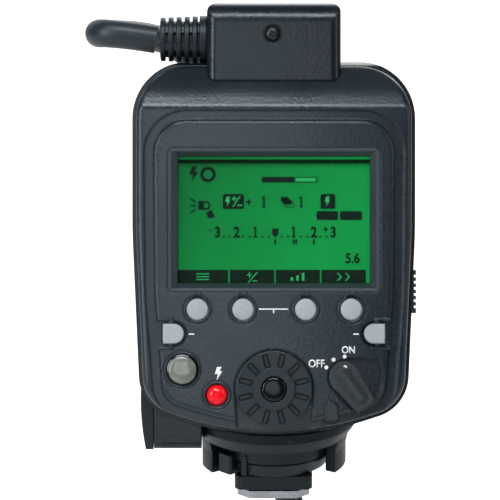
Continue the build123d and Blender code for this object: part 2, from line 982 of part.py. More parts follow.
# Battery tray with its mouth plate, cells and contacts
cell_places = [
    (tray_middle[0] + i * (cell_radius + 0.1), tray_middle[1] + j * (cell_radius + 0.1))
    for i in (-1, 1)
    for j in (-1, 1)
]
cell_start = cell_end - cell_length
tray_start = cell_start - tray_end_gap - tray_wall
tray_half = 2 * cell_radius + 0.2 + tray_wall
tray_stop = flange_x + tray_wall
with BuildPart() as battery_tray:
    with BuildSketch(side(tray_start)):
        with Locations(tray_middle):
            Rectangle(2 * tray_half, 2 * tray_half)
    extrude(amount=tray_stop - tray_start)
    with BuildSketch(side(flange_x)):
        with Locations(((door_rear + door_front) / 2, (door_low + hinge_height) / 2)):
            Rectangle(door_front - door_rear + 4, hinge_height - door_low - 6.0)
    extrude(amount=tray_wall)
    with BuildSketch(side(tray_start + tray_wall)):
        with Locations(*cell_places):
            Circle(cell_radius + 0.08)
    extrude(amount=tray_stop - tray_start, mode=Mode.SUBTRACT)
save(battery_tray, "battery_tray")

with BuildPart() as battery_cells:
    for w, v in cell_places:
        with BuildSketch(side(cell_start)):
            with Locations((w, v)):
                Circle(cell_radius)
        extrude(amount=cell_length - 1.0)
        with BuildSketch(side(cell_end - 1.0)):
            with Locations((w, v)):
                Circle(2.7)
        extrude(amount=1.0)
save(battery_cells, "battery_cells")

with BuildPart() as battery_contacts:
    for w, v in cell_places:
        with BuildSketch(side(tray_start + tray_wall)):
            with Locations((w, v)):
                Circle(cell_radius - 1.2)
        extrude(amount=tray_end_gap - 0.05)
save(battery_contacts, "battery_contacts")

# Battery door, its hinge pin, its contact strips and its lock slider
barrel_start = door_rear + knuckle_length + 0.15
barrel_end = door_front - knuckle_length - 0.15
barrel_gap = 0.15
with BuildPart() as battery_door:
    door_form = shell_form(0, 0, door_rear, door_front)
    door_form = door_form & slab(
        (door_inner_x, 2 * half_width), (door_rear, door_front), (door_low, hinge_height - 0.05)
    )
    add(door_form)
    for start, end in ((door_rear - 1, barrel_start), (barrel_end, door_front + 1)):
        add(
            rod(rear(end), (hinge_x, hinge_height), hinge_barrel_radius + barrel_gap, end - start),
            mode=Mode.SUBTRACT,
        )
    add(rod(rear(barrel_end), (hinge_x, hinge_height), hinge_barrel_radius, barrel_end - barrel_start))
    add(
        rod(rear(door_front + 1), (hinge_x, hinge_height), hinge_pin_radius + running_gap, 60),
        mode=Mode.SUBTRACT,
    )
    add(
        slab(
            (slider_base_x - running_gap, 2 * half_width),
            (slider_rear - running_gap, slider_front + running_gap),
            (slider_low - running_gap, slider_high + slider_travel + running_gap),
        ),
        mode=Mode.SUBTRACT,
    )
save(battery_door, "battery_door")

with BuildPart() as door_pin:
    add(rod(rear(pin_end - 0.1), (hinge_x, hinge_height), hinge_pin_radius, pin_end - pin_start - 0.2))
save(door_pin, "battery_door_pin")

with BuildPart() as door_contacts:
    for low in (-1, 1):
        v = tray_middle[1] + low * (cell_radius + 0.1)
        add(
            slab(
                (cell_end + 0.1, door_inner_x - 0.02),
                (tray_middle[0] - 2 * cell_radius + 2, tray_middle[0] + 2 * cell_radius - 2),
                (v - 3.5, v + 3.5),
            )
        )
save(door_contacts, "door_contacts")

slider_face = half_width + slider_proud
with BuildPart() as door_slider:
    add(
        slab(
            (slider_base_x, slider_face),
            (slider_rear, slider_front),
            (slider_low, slider_high),
        )
    )
    ridge_count = 7
    pitch = (slider_high - slider_low) / ridge_count
    for index in range(1, ridge_count):
        v = slider_low + index * pitch
        with BuildSketch(side(slider_face - 0.55)):
            with Locations(((slider_rear + slider_front) / 2, v)):
                Rectangle(slider_front - slider_rear, pitch * 0.42)
        extrude(amount=2, mode=Mode.SUBTRACT)
save(door_slider, "door_lock_slider")

# Terminal flap, its pin and the socket behind it
flap_inner = block_left - 0.12
with BuildPart() as terminal_flap:
    with BuildSketch(rear(flap_front)):
        with BuildLine():
            low = underside_height(flap_rear, block_under_z)
            bulge = ThreePointArc(
                (flap_outer + 1.3, low),
                (flap_outer, (low + flap_top) / 2 + 2),
                (flap_outer + 0.5, flap_top),
            )
            Polyline(bulge @ 1, (flap_inner, flap_top), (flap_inner, low), bulge @ 0)
        make_face()
    extrude(amount=flap_front - flap_rear)
    with BuildSketch(side(flap_outer - 5)):
        with BuildLine():
            Polyline(
                (flap_rear - 1, underside_height(flap_rear - 1, block_under_z)),
                (flap_front + 1, underside_height(flap_front + 1, block_under_z)),
                (flap_front + 1, 60),
                (flap_rear - 1, 60),
                close=True,
            )
        make_face()
    extrude(amount=20, mode=Mode.INTERSECT)
    with BuildSketch(level(-10)):
        with Locations(((block_left + flap_inner) / 2, flap_front)):
            Rectangle(2.6, 2.6, rotation=45)
        with BuildLine():
            nose = ThreePointArc(
                (flap_hinge[0] - flap_barrel_radius, flap_hinge[1]),
                (
                    flap_hinge[0] - flap_barrel_radius * math.sqrt(0.5),
                    flap_hinge[1] + flap_barrel_radius * math.sqrt(0.5),
                ),
                (flap_hinge[0], flap_hinge[1] + flap_barrel_radius),
            )
            Polyline(
                nose @ 1,
                (flap_hinge[0], flap_front + 1),
                (flap_outer - 2, flap_front + 1),
                (flap_outer - 2, flap_hinge[1]),
                nose @ 0,
            )
        make_face()
    extrude(amount=60, mode=Mode.SUBTRACT)
    add(rod(level(0), flap_hinge, flap_pin_radius + running_gap, 60), mode=Mode.SUBTRACT)
save(terminal_flap, "terminal_flap")

with BuildPart() as flap_pin:
    pin_low = underside_height(flap_hinge[1], block_under_z) + 0.3
    add(rod(level(pin_low), flap_hinge, flap_pin_radius, flap_top + 1.9 - pin_low))
save(flap_pin, "terminal_flap_pin")

with BuildPart() as terminal_socket:
    with BuildSketch(side(block_left + 0.1)):
        with Locations(((block_rear + block_front) / 2 - 4, 22.5)):
            Circle(socket_radius)
    extrude(amount=8.0)
    with BuildSketch(side(block_left)):
        with Locations(((block_rear + block_front) / 2 - 4, 22.5)):
            Circle(socket_radius - 1.0)
            with PolarLocations(1.9, 3, start_angle=90):
                Circle(0.55, mode=Mode.SUBTRACT)
    extrude(amount=6.0, mode=Mode.SUBTRACT)
save(terminal_socket, "terminal_socket")

# Main board, flash capacitor, charging transformer and trigger coil
with BuildPart() as main_board:
    add(
        slab(
            (-main_board_half_width, main_board_half_width),
            (main_board_rear, main_board_rear + board_thickness),
            (main_board_low, main_board_high),
        )
    )
    for x, v, width, height in ((-18, 88, 12, 9), (6, 93, 9, 7), (20, 50, 10, 10), (-12, 52, 14, 12)):
        part_widths = (x - width / 2, x + width / 2)
        part_heights = (v - height / 2, v + height / 2)
        add(slab(part_widths, (main_board_rear - 1.4, main_board_rear), part_heights))
save(main_board, "main_circuit_board")

capacitor_radius = 10.8
tray_top = tray_middle[1] + tray_half
with BuildPart() as capacitor:
    with BuildSketch(side(-29.0)):
        with Locations((14.0, tray_top + 0.1 + capacitor_radius)):
            Circle(capacitor_radius)
    extrude(amount=42.0)
    fillet(capacitor.edges(), radius=1.0)
    for offset_w in (-3.5, 3.5):
        with BuildSketch(side(12.5)):
            with Locations((14.0 + offset_w, tray_top + 0.1 + capacitor_radius)):
                Circle(0.5)
        extrude(amount=3.0)
save(capacitor, "flash_capacitor")

with BuildPart() as transformer:
    add(slab((17.5, 29.5), (3.0, 19.0), (tray_top + 0.1, tray_top + 2.1)))
    add(slab((19.5, 27.5), (5.0, 17.0), (tray_top + 2.1, tray_top + 11.1)))
    add(slab((17.5, 29.5), (3.0, 19.0), (tray_top + 11.1, tray_top + 13.1)))
save(transformer, "charging_transformer")

with BuildPart() as trigger_coil:
    with BuildSketch(side(tray_start - 9.1)):
        with Locations((6.0, 60.0)):
            Circle(5.0)
    extrude(amount=9.0)
save(trigger_coil, "trigger_coil")

# Cable housing on the unit's top
with BuildPart() as cable_housing:
    with BuildSketch(level(housing_low)):
        with Locations((0, (housing_rear + housing_front) / 2)):
            RectangleRounded(2 * housing_half_width, housing_front - housing_rear, housing_corner_radius)
    extrude(amount=housing_top - housing_low)
    with BuildSketch(rear(housing_front)):
        with BuildLine():
            FilletPolyline(
                (-housing_half_width, housing_low),
                (-housing_half_width, housing_top),
                (housing_half_width, housing_top),
                (housing_half_width, housing_low),
                radius=[0, housing_corner_radius, housing_corner_radius, 0],
                close=True,
            )
        make_face()
    extrude(amount=housing_front - housing_rear, mode=Mode.INTERSECT)
    with BuildSketch(side(-housing_half_width)):
        with BuildLine():
            FilletPolyline(
                (housing_rear, housing_low),
                (housing_rear, housing_top),
                (housing_front, housing_top),
                (housing_front, housing_low),
                radius=[0, housing_top_radius, housing_top_radius, 0],
                close=True,
            )
        make_face()
    extrude(amount=2 * housing_half_width, mode=Mode.INTERSECT)
    add(
        slab(
            (housing_wall - housing_half_width, housing_half_width - housing_wall),
            (housing_rear + housing_wall, housing_front - housing_wall),
            (housing_low - 1, housing_top - housing_wall - 1.0),
        ),
        mode=Mode.SUBTRACT,
    )
    add(shell_form(-seat_gap, -seat_gap, rear_face - 2, front_face), mode=Mode.SUBTRACT)
    screw_place = (housing_screw_x, housing_screw_height)
    add(rod(rear(housing_rear + 1.3), screw_place, 2.3, 3), mode=Mode.SUBTRACT)
    add(rod(rear(housing_rear + 3), screw_place, 1.1, 6), mode=Mode.SUBTRACT)
    with BuildSketch(side(-housing_half_width - 1)):
        with Locations((boot_depth, boot_height)):
            Circle(boot_neck_radius + seat_gap)
    extrude(amount=housing_wall + 2, mode=Mode.SUBTRACT)
save(cable_housing, "cable_housing")

with BuildPart() as housing_screw:
    head_back = housing_rear + 1.3 - seat_gap
    with BuildSketch(side(housing_screw_x)):
        with BuildLine():
            crown = ThreePointArc(
                (head_back - 1.15, housing_screw_height),
                (head_back - 1.0, housing_screw_height + 1.1),
                (head_back - 0.5, housing_screw_height + 1.85),
            )
            Polyline(
                crown @ 1,
                (head_back, housing_screw_height + 1.85),
                (head_back, housing_screw_height + 1.0),
                (head_back + 4.5, housing_screw_height + 1.0),
                (head_back + 4.5, housing_screw_height),
                crown @ 0,
            )
        make_face()
    revolve(axis=Axis(body_point(housing_screw_x, 0, housing_screw_height), inward))
    with BuildSketch(rear(head_back - 0.35)):
        with Locations(screw_place):
            Rectangle(2.1, 0.5, rotation=20)
            Rectangle(0.5, 2.1, rotation=20)
    extrude(amount=3, mode=Mode.SUBTRACT)
save(housing_screw, "cable_housing_screw")

with BuildPart() as cord_clamp:
    add(
        slab(
            (housing_wall - housing_half_width + 1.6, 4.0),
            (housing_rear + housing_wall + 0.05, housing_rear + housing_wall + 3.6),
            (housing_screw_height - 5, housing_screw_height + 4.5),
        )
    )
    add(rod(rear(boot_depth), screw_place, 1.05, 20), mode=Mode.SUBTRACT)
save(cord_clamp, "cord_clamp")

# Strain-relief boot, with its ribs and the webs between them
with BuildPart() as strain_relief:
    root = -housing_half_width
    add(rod(side(boot_end), (boot_depth, boot_height), boot_core_radius, root - boot_end))
    add(rod(side(root - 1.9), (boot_depth, boot_height), boot_root_radius, 1.9))
    for index in range(boot_ribs):
        rib_radius = boot_rib_radius - boot_rib_taper * (boot_ribs - 1 - index)
        start = boot_end + 0.1 + index * boot_rib_pitch
        add(rod(side(start), (boot_depth, boot_height), rib_radius, boot_rib_width))
    fillet(strain_relief.edges().filter_by(GeomType.CIRCLE).filter_by(lambda e: e.radius > 5.4), radius=0.3)
    for turn in (25, 155, 205, 335):
        web = math.radians(turn)
        with BuildSketch(side(boot_end + 0.3)):
            with Locations((boot_depth + 4.6 * math.cos(web), boot_height + 4.6 * math.sin(web))):
                Rectangle(1.6, 1.8, rotation=turn)
        extrude(amount=root - boot_end - 0.5)
    add(rod(side(root - 0.5), (boot_depth, boot_height), boot_neck_radius, housing_wall + 0.6))
    add(rod(side(root + housing_wall + 0.05), (boot_depth, boot_height), boot_flange_radius, 1.4))
    add(rod(side(boot_end), (boot_depth, boot_height), cord_radius + cover_gap, boot_mouth), mode=Mode.SUBTRACT)
save(strain_relief, "strain_relief")

# Hot-shoe foot: metal plate, insulator with its contacts, neck, lock ring, pin and collar
neck_top = plate_thickness + rail_slot_height
insulator_width = 11.6
insulator_low = -6.4
insulator_high = 4.8
contact_depth = 1.4
with BuildPart() as shoe_plate:
    with BuildSketch():
        Rectangle(plate_width, plate_length)
    extrude(amount=plate_thickness)
    chamfer(shoe_plate.edges().filter_by(Axis.Z).group_by(Axis.Y)[0], length=plate_corner)
    chamfer(shoe_plate.edges().filter_by(Axis.Z).group_by(Axis.Y)[-1], length=0.8)
    with BuildSketch():
        with Locations((0, (insulator_low + insulator_high) / 2)):
            Rectangle(insulator_width + 2 * seat_gap, insulator_high - insulator_low + 2 * seat_gap)
        with Locations(pin_place):
            Circle(pin_radius + running_gap)
    extrude(amount=plate_thickness, mode=Mode.SUBTRACT)
save(shoe_plate, "shoe_plate")

with BuildPart() as insulator:
    with BuildSketch():
        with Locations((0, (insulator_low + insulator_high) / 2)):
            Rectangle(insulator_width, insulator_high - insulator_low)
    extrude(amount=plate_thickness - seat_gap)
    with BuildSketch():
        with Locations(*contact_places):
            Circle(contact_radius + seat_gap)
    extrude(amount=contact_depth + seat_gap, mode=Mode.SUBTRACT)
save(insulator, "contact_insulator")

with BuildPart() as contacts:
    with BuildSketch():
        with Locations(*contact_places):
            Circle(contact_radius)
    extrude(amount=contact_depth)
save(contacts, "shoe_contacts")

with BuildPart() as foot_base:
    with BuildSketch(Plane.XY.offset(plate_thickness)):
        Rectangle(rail_slot_width, plate_length - 1.6)
    extrude(amount=rail_slot_height)
    with BuildSketch(Plane.XY.offset(neck_top)):
        RectangleRounded(2 * clamp_half_width, 2 * clamp_half_length, 2.0)
    extrude(amount=clamp_top - neck_top)
    chamfer(foot_base.faces().sort_by(Axis.Z)[-1].edges(), length=0.6)
    with BuildSketch(Plane.XY.offset(clamp_top)):
        Circle(core_radius)
    extrude(amount=core_top - clamp_top)
    with BuildSketch(Plane.XY.offset(clamp_top + 2)):
        Circle(core_radius - 2.4)
    extrude(amount=core_top, mode=Mode.SUBTRACT)
    with BuildSketch(Plane.XY.offset(plate_thickness)):
        with Locations(pin_place):
            Circle(pin_radius + running_gap)
    extrude(amount=clamp_top - plate_thickness, mode=Mode.SUBTRACT)
save(foot_base, "foot_base")

with BuildPart() as lock_ring:
    ring_low = clamp_top + 0.1
    bore = core_radius + running_gap
    with BuildSketch(Plane.XZ):
        with BuildLine():
            Polyline(
                (bore, ring_low),
                (ring_low_radius, ring_low),
                (ring_radius - 0.2, ring_parting - 0.2),
                (ring_radius - 0.7, ring_parting),
                (ring_radius, ring_parting + 0.3),
                (ring_radius, ring_top - 0.6),
                (ring_radius - 0.5, ring_top - 0.1),
                (bore, ring_top - 0.1),
                close=True,
            )
        make_face()
    revolve(axis=Axis.Z)
    tab_angle = 270 + lever_angle
    with BuildSketch(Plane.XY.offset(lever_low)):
        with PolarLocations((ring_radius - 2 + lever_reach) / 2, 1, start_angle=tab_angle):
            RectangleRounded(lever_reach - ring_radius + 2, 4.4, 0.6)
        with PolarLocations(ring_radius - 0.4, 1, start_angle=tab_angle + 17):
            RectangleRounded(2.4, 1.4, 0.3)
    extrude(amount=lever_high - lever_low)
save(lock_ring, "lock_ring")

pin_rest = 0.2
with BuildPart() as locking_pin:
    with BuildSketch(Plane.XY.offset(pin_rest)):
        with Locations(pin_place):
            Circle(pin_radius)
    extrude(amount=clamp_top - pin_rest - 0.1)
    chamfer(locking_pin.faces().sort_by(Axis.Z)[0].edges(), length=0.3)
save(locking_pin, "locking_pin")

with BuildPart() as foot_collar:
    with BuildSketch(Plane.XZ):
        with BuildLine():
            Polyline(
                (collar_inner_radius, collar_low),
                (collar_radius, collar_low),
                (collar_radius, collar_flare_low),
                (collar_radius + 0.25 * collar_flare, (collar_flare_low + collar_flare_high) / 2),
                (collar_radius + collar_flare, collar_flare_high),
                (collar_radius + collar_flare, ring_top + 18),
                (core_radius + seat_gap, ring_top + 18),
                (core_radius + seat_gap, ring_top),
                (collar_inner_radius, ring_top),
                close=True,
            )
        make_face()
    revolve(axis=Axis.Z)
    window = math.radians(collar_window_angle)
    with BuildSketch(Plane.XY):
        with BuildLine():
            Polyline(
                (0, 0),
                (-3 * collar_radius * math.sin(window), -3 * collar_radius * math.cos(window)),
                (3 * collar_radius * math.sin(window), -3 * collar_radius * math.cos(window)),
                close=True,
            )
        make_face()
    extrude(amount=ring_top, mode=Mode.SUBTRACT)
    add(shell_form(-seat_gap, -seat_gap, rear_face - 3, front_face), mode=Mode.SUBTRACT)
    add(
        slab(
            (-2 * half_width, block_right + seat_gap),
            (block_rear - 6, block_front + 10),
            (-10, 60),
        ),
        mode=Mode.SUBTRACT,
    )
save(foot_collar, "foot_collar")


# Ring head
def head_outline(inset):
    """Outline of the ring head seen along its axis, drawn in by inset, with the lead's entry at its side."""
    with BuildSketch() as outline:
        Circle(ring_outer_radius - inset)
        with Locations((0, (entry_base + entry_top - inset) / 2)):
            RectangleRounded(2 * (entry_half_width - inset), entry_top - inset - entry_base, entry_corner - inset)
    return outline.sketch


def sector(inner, outer, half_angle, middle, grow=0.0):
    """Piece of an annulus about the ring's axis, spread to each side of a middle angle."""
    spread = math.radians(half_angle) + grow / outer
    turn = math.radians(middle)

    def place(reach, angle):
        return (reach * math.cos(turn + angle), reach * math.sin(turn + angle))

    with BuildSketch() as piece:
        with BuildLine():
            far = ThreePointArc(
                place(outer + grow, -spread), place(outer + grow, 0), place(outer + grow, spread)
            )
            near = ThreePointArc(
                place(inner - grow, spread), place(inner - grow, 0), place(inner - grow, -spread)
            )
            Line(far @ 1, near @ 0)
            Line(near @ 1, far @ 0)
        make_face()
    return piece.sketch


def on_ring(radius, angle):
    """Point of the ring head's plane at a radius and an angle."""
    turn = math.radians(angle)
    return (radius * math.cos(turn), radius * math.sin(turn))


head_screw_places = [on_ring(head_screw_ring, angle) for angle in head_screw_angles]
gland_plane = Plane(origin=(gland_reach_out, ring_back, ring_centre_z), x_dir=(1, 0, 0), z_dir=(0, -1, 0))
release_back = release_middle_y - release_half_depth

with BuildPart() as ring_rear_cover:
    with BuildSketch(head_plane(ring_back)):
        add(head_outline(0))
        Circle(ring_inner_radius, mode=Mode.SUBTRACT)
    extrude(amount=ring_seam - ring_back)
    fillet(ring_rear_cover.faces().sort_by(Axis.Y)[0].edges(), radius=head_edge_radius)
    with BuildSketch(head_plane(ring_back + ring_wall)):
        add(head_outline(ring_wall))
        Circle(ring_inner_radius + ring_wall, mode=Mode.SUBTRACT)
    extrude(amount=ring_depth, mode=Mode.SUBTRACT)
    with BuildSketch(head_plane(release_back - running_gap)):
        Rectangle(4 * ring_outer_radius, 2 * (release_half_width + running_gap))
        Circle(ring_outer_radius - ring_wall - 1.5, mode=Mode.SUBTRACT)
    extrude(amount=2 * (release_half_depth + running_gap), mode=Mode.SUBTRACT)
    with BuildSketch(head_plane(ring_back + ring_wall)):
        with Locations(*head_screw_places):
            Circle(head_rear_boss_radius)
    extrude(amount=ring_wall)
    with BuildSketch(head_plane(ring_back)):
        with Locations(*head_screw_places):
            Circle(head_screw_head + 0.15)
    extrude(amount=head_screw_recess, mode=Mode.SUBTRACT)
    with BuildSketch(head_plane(ring_back)):
        with Locations(*head_screw_places):
            Circle(head_screw_radius + 0.1)
    extrude(amount=ring_depth, mode=Mode.SUBTRACT)
    entry_hole = rod(gland_plane.offset(-ring_wall - 1), (0, 0), gland_neck_radius + seat_gap, ring_wall + 4)
    add(entry_hole, mode=Mode.SUBTRACT)
save(ring_rear_cover, "ring_rear_cover")

with BuildPart() as ring_front_cover:
    with BuildSketch(head_plane(ring_seam)):
        add(head_outline(0))
        Circle(ring_inner_radius, mode=Mode.SUBTRACT)
    extrude(amount=ring_front - ring_seam)
    fillet(ring_front_cover.faces().sort_by(Axis.Y)[-1].edges(), radius=head_edge_radius)
    with BuildSketch(head_plane(ring_seam)):
        add(head_outline(ring_wall))
        Circle(ring_inner_radius + ring_wall, mode=Mode.SUBTRACT)
    extrude(amount=ring_front - ring_wall - ring_seam, mode=Mode.SUBTRACT)
    with BuildSketch(head_plane(ring_front - ring_wall)):
        for middle in (0, 180):
            add(sector(window_inner_radius, window_outer_radius, window_half_angle, middle))
        with PolarLocations(focus_ring_radius, 2, start_angle=90):
            Circle(focus_radius + seat_gap)
    extrude(amount=ring_wall, mode=Mode.SUBTRACT)
    with BuildSketch(head_plane(ring_seam)):
        with Locations(*head_screw_places):
            Circle(head_front_boss_radius)
            Circle(head_screw_radius + 0.05, mode=Mode.SUBTRACT)
    extrude(amount=ring_front - ring_wall - ring_seam)
save(ring_front_cover, "ring_front_cover")

with BuildPart() as lens_collar:
    with BuildSketch(head_plane(ring_back + 0.2)):
        Circle(ring_inner_radius - seat_gap)
        Circle(mount_bore_radius, mode=Mode.SUBTRACT)
    extrude(amount=mount_length)
    chamfer(lens_collar.edges().filter_by(GeomType.CIRCLE).filter_by(lambda e: e.radius < 32), length=0.5)
save(lens_collar, "lens_mount_collar")

diffuser_gap = 0.1
window_base = ring_front - ring_wall
reflector_back = window_base - seat_gap - reflector_depth
with BuildPart() as diffusers:
    with BuildSketch(head_plane(window_base + seat_gap)):
        for middle in (0, 180):
            add(sector(window_inner_radius, window_outer_radius, window_half_angle, middle, -diffuser_gap))
    extrude(amount=diffuser_thickness)
    fillet(diffusers.faces().group_by(Axis.Y)[-1].edges(), radius=0.4)
save(diffusers, "flash_diffusers")

with BuildPart() as reflectors:
    with BuildSketch(head_plane(reflector_back)):
        for middle in (0, 180):
            add(sector(window_inner_radius, window_outer_radius, window_half_angle, middle, reflector_wall))
    extrude(amount=reflector_depth)
    with BuildSketch(head_plane(reflector_back + reflector_wall)):
        for middle in (0, 180):
            add(sector(window_inner_radius, window_outer_radius, window_half_angle, middle))
    extrude(amount=reflector_depth, mode=Mode.SUBTRACT)
save(reflectors, "flash_reflectors")

tube_y = reflector_back + reflector_wall + tube_radius + 0.3
tube_end = window_half_angle - 3
with BuildPart() as flash_tubes:
    for middle in (0, 180):
        ends = [on_ring(tube_ring_radius, middle + sign * tube_end) for sign in (-1, 0, 1)]
        with BuildLine() as tube_line:
            ThreePointArc(*[(x, tube_y, ring_centre_z + z) for z, x in ends])
        with BuildSketch(Plane(origin=tube_line.line @ 0, z_dir=tube_line.line % 0)):
            Circle(tube_radius)
        sweep(path=tube_line.line)
save(flash_tubes, "flash_tubes")

board_y = ring_seam + 0.3
lens_back = window_base - 1.0
with BuildPart() as focus_lamps:
    with BuildSketch(head_plane(lens_back)):
        with PolarLocations(focus_ring_radius, 2, start_angle=90):
            Circle(focus_radius)
    extrude(amount=ring_front - lens_back)
    fillet(focus_lamps.faces().group_by(Axis.Y)[-1].edges(), radius=0.8)
    with BuildSketch(head_plane(board_y + head_board_thickness + seat_gap)):
        with PolarLocations(focus_ring_radius, 2, start_angle=90):
            Circle(focus_radius - 0.4)
    extrude(amount=lens_back - board_y - head_board_thickness - seat_gap)
save(focus_lamps, "focus_lamps")

with BuildPart() as head_board:
    with BuildSketch(head_plane(board_y)):
        Circle(ring_outer_radius - ring_wall - 0.4)
        Circle(ring_inner_radius + ring_wall + 0.4, mode=Mode.SUBTRACT)
        with Locations(*head_screw_places):
            Circle(head_front_boss_radius + 0.15, mode=Mode.SUBTRACT)
    extrude(amount=head_board_thickness)
save(head_board, "head_circuit_board")

release_shoulder = ring_outer_radius - ring_wall - 0.8
for middle, suffix in ((0, "a"), (180, "b")):
    direction = 1 if middle == 0 else -1
    with BuildPart() as release_button:
        with BuildSketch(head_plane(release_back)):
            with Locations((direction * (release_outer + release_inner) / 2, 0)):
                Rectangle(release_outer - release_inner, 2 * release_half_width)
            with Locations((direction * (release_shoulder - 1.0), 0)):
                Rectangle(2.0, 2 * release_half_width + 3.0)
            with Locations((direction * (release_inner + release_stem_end) / 2, 0)):
                Rectangle(release_inner - release_stem_end, 2 * release_stem_half_width)
            Circle(release_outer, mode=Mode.INTERSECT)
        extrude(amount=2 * release_half_depth)
    save(release_button, f"release_button_{suffix}")

spring_inner_radius = ring_inner_radius + ring_wall + seat_gap
spring_thickness = 0.55
spring_half_angle = 14.0
with BuildPart() as release_springs:
    with BuildSketch(head_plane(release_back + 1)):
        for middle in (0, 180):
            add(sector(spring_inner_radius, spring_inner_radius + spring_thickness, spring_half_angle, middle))
    extrude(amount=2 * release_half_depth - 2)
save(release_springs, "release_springs")

with BuildPart() as head_screws:
    with BuildSketch(head_plane(ring_back + 0.3)):
        with Locations(*head_screw_places):
            Circle(head_screw_head)
    extrude(amount=head_screw_recess - 0.35)
    with BuildSketch(head_plane(ring_back + head_screw_recess - 0.1)):
        with Locations(*head_screw_places):
            Circle(head_screw_radius)
    extrude(amount=head_screw_length)
    with BuildSketch(head_plane(ring_back)):
        with Locations(*head_screw_places):
            Rectangle(2.0, 0.5)
            Rectangle(0.5, 2.0)
    extrude(amount=0.8, mode=Mode.SUBTRACT)
save(head_screws, "head_screws")

with BuildPart() as head_gland:
    add(rod(gland_plane, (0, 0), gland_radius, gland_foot))
    add(rod(gland_plane, (0, 0), boot_core_radius, gland_reach))
    for index in range(gland_ribs):
        rib_plane = gland_plane.offset(gland_rib_start + index * gland_rib_pitch)
        add(rod(rib_plane, (0, 0), gland_radius - (index + 1) * gland_rib_taper, gland_rib_width))
    add(rod(gland_plane.offset(-ring_wall - 0.5), (0, 0), gland_neck_radius, ring_wall + 1))
    flange_plane = gland_plane.offset(-ring_wall - seat_gap - gland_flange_thickness)
    add(rod(flange_plane, (0, 0), gland_flange_radius, gland_flange_thickness))
save(head_gland, "head_cord_gland")

# Lead from the housing down behind the unit to the ring head, as it hangs between the two
cord_route = [
    body_point(boot_end + boot_mouth / 2, boot_depth, boot_height),
    body_point(-33.7, boot_depth, boot_height + 0.5),
    body_point(-39.6, boot_depth + 0.5, boot_height + 1.1),
    body_point(-44.0, boot_depth + 4.6, boot_height + 1.7),
    body_point(-45.7, boot_depth + 10.5, boot_height + 2.3),
    body_point(-45.8, boot_depth + 19.0, boot_height + 2.8),
    body_point(-45.2, boot_depth + 31.5, boot_height + 3.5),
    body_point(-41.6, boot_depth + 46.0, boot_height + 4.2),
    body_point(-35.4, boot_depth + 59.0, boot_height + 3.0),
    Vector(-27.8, 83.5, 93.0),
    Vector(-20.5, 88.5, 81.5),
    Vector(-14.5, 89.5, 67.5),
    Vector(-9.5, 87.5, 53.0),
    Vector(-5.5, 83.5, 38.0),
    Vector(-2.2, 78.0, 22.5),
    Vector(0.0, 72.0, 6.5),
    Vector(1.0, 66.0, -10.0),
    Vector(3.6, 60.8, -26.2),
    Vector(10.2, 57.0, -39.4),
    Vector(18.7, 52.0, -52.0),
    Vector(28.0, 45.2, -63.6),
    Vector(36.7, 39.6, -74.4),
    Vector(45.1, 37.3, -84.7),
    Vector(52.9, 40.4, -94.3),
    Vector(59.1, 48.6, -102.0),
    Vector(gland_reach_out, 60.3, ring_centre_z),
    Vector(gland_reach_out, ring_back - gland_reach, ring_centre_z),
]
cord_runs = [b - a for a, b in zip(cord_route, cord_route[1:])]
cord_radii = []
for before, after in zip(cord_runs, cord_runs[1:]):
    turn = math.radians(before.get_angle(after))
    cord_radii.append(0.45 * min(before.length, after.length) / math.tan(turn / 2))
with BuildPart() as cord:
    with BuildLine() as cord_line:
        FilletPolyline(*cord_route, radius=cord_radii)
    with BuildSketch(Plane(origin=cord_line.line @ 0, z_dir=cord_line.line % 0)):
        Circle(cord_radius)
    sweep()
save(cord, "cord")
cord_length = sum(edge.length for edge in cord_line.edges())
print("cord length", round(cord_length, 1))
print("cord radii", [round(radius, 1) for radius in cord_radii])
print("cord volume over section times length", cord.part.volume / (math.pi * cord_radius**2 * cord_length))
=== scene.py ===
import math

import bmesh
import bpy
from mathutils import Matrix, Vector


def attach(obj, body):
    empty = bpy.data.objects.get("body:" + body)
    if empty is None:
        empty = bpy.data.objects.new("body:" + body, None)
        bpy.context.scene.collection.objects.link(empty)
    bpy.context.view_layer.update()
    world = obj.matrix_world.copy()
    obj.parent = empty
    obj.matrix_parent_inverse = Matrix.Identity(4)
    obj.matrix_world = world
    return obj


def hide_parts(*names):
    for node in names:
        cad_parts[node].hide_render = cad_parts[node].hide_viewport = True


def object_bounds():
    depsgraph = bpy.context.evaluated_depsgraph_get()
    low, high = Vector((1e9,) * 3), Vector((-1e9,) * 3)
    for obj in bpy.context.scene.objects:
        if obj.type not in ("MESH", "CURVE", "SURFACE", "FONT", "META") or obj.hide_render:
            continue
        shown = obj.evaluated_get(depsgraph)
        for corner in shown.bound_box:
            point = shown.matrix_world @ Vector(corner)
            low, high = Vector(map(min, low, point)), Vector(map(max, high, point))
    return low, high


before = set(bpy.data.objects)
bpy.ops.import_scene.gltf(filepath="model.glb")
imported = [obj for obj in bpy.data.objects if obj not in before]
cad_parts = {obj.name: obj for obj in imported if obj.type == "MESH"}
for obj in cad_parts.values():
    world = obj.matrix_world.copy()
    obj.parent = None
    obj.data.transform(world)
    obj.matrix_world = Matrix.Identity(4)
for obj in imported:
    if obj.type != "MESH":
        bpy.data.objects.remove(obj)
cad_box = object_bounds()

MM = 0.001
LEAN = math.radians(18.0)
UP = Vector((0, math.sin(LEAN), math.cos(LEAN)))
INWARD = Vector((0, math.cos(LEAN), -math.sin(LEAN)))
PANEL = -34.0
PIXEL = 0.252
AIM = (-6.05, 61.4)
LIQUID = -31.26
PRINT = 0.025


def place(x, w, v):
    """World point in metres of a place in the control unit's leaning frame, in mm."""
    return (Vector((x, 0, 0)) + INWARD * w + UP * v) * MM


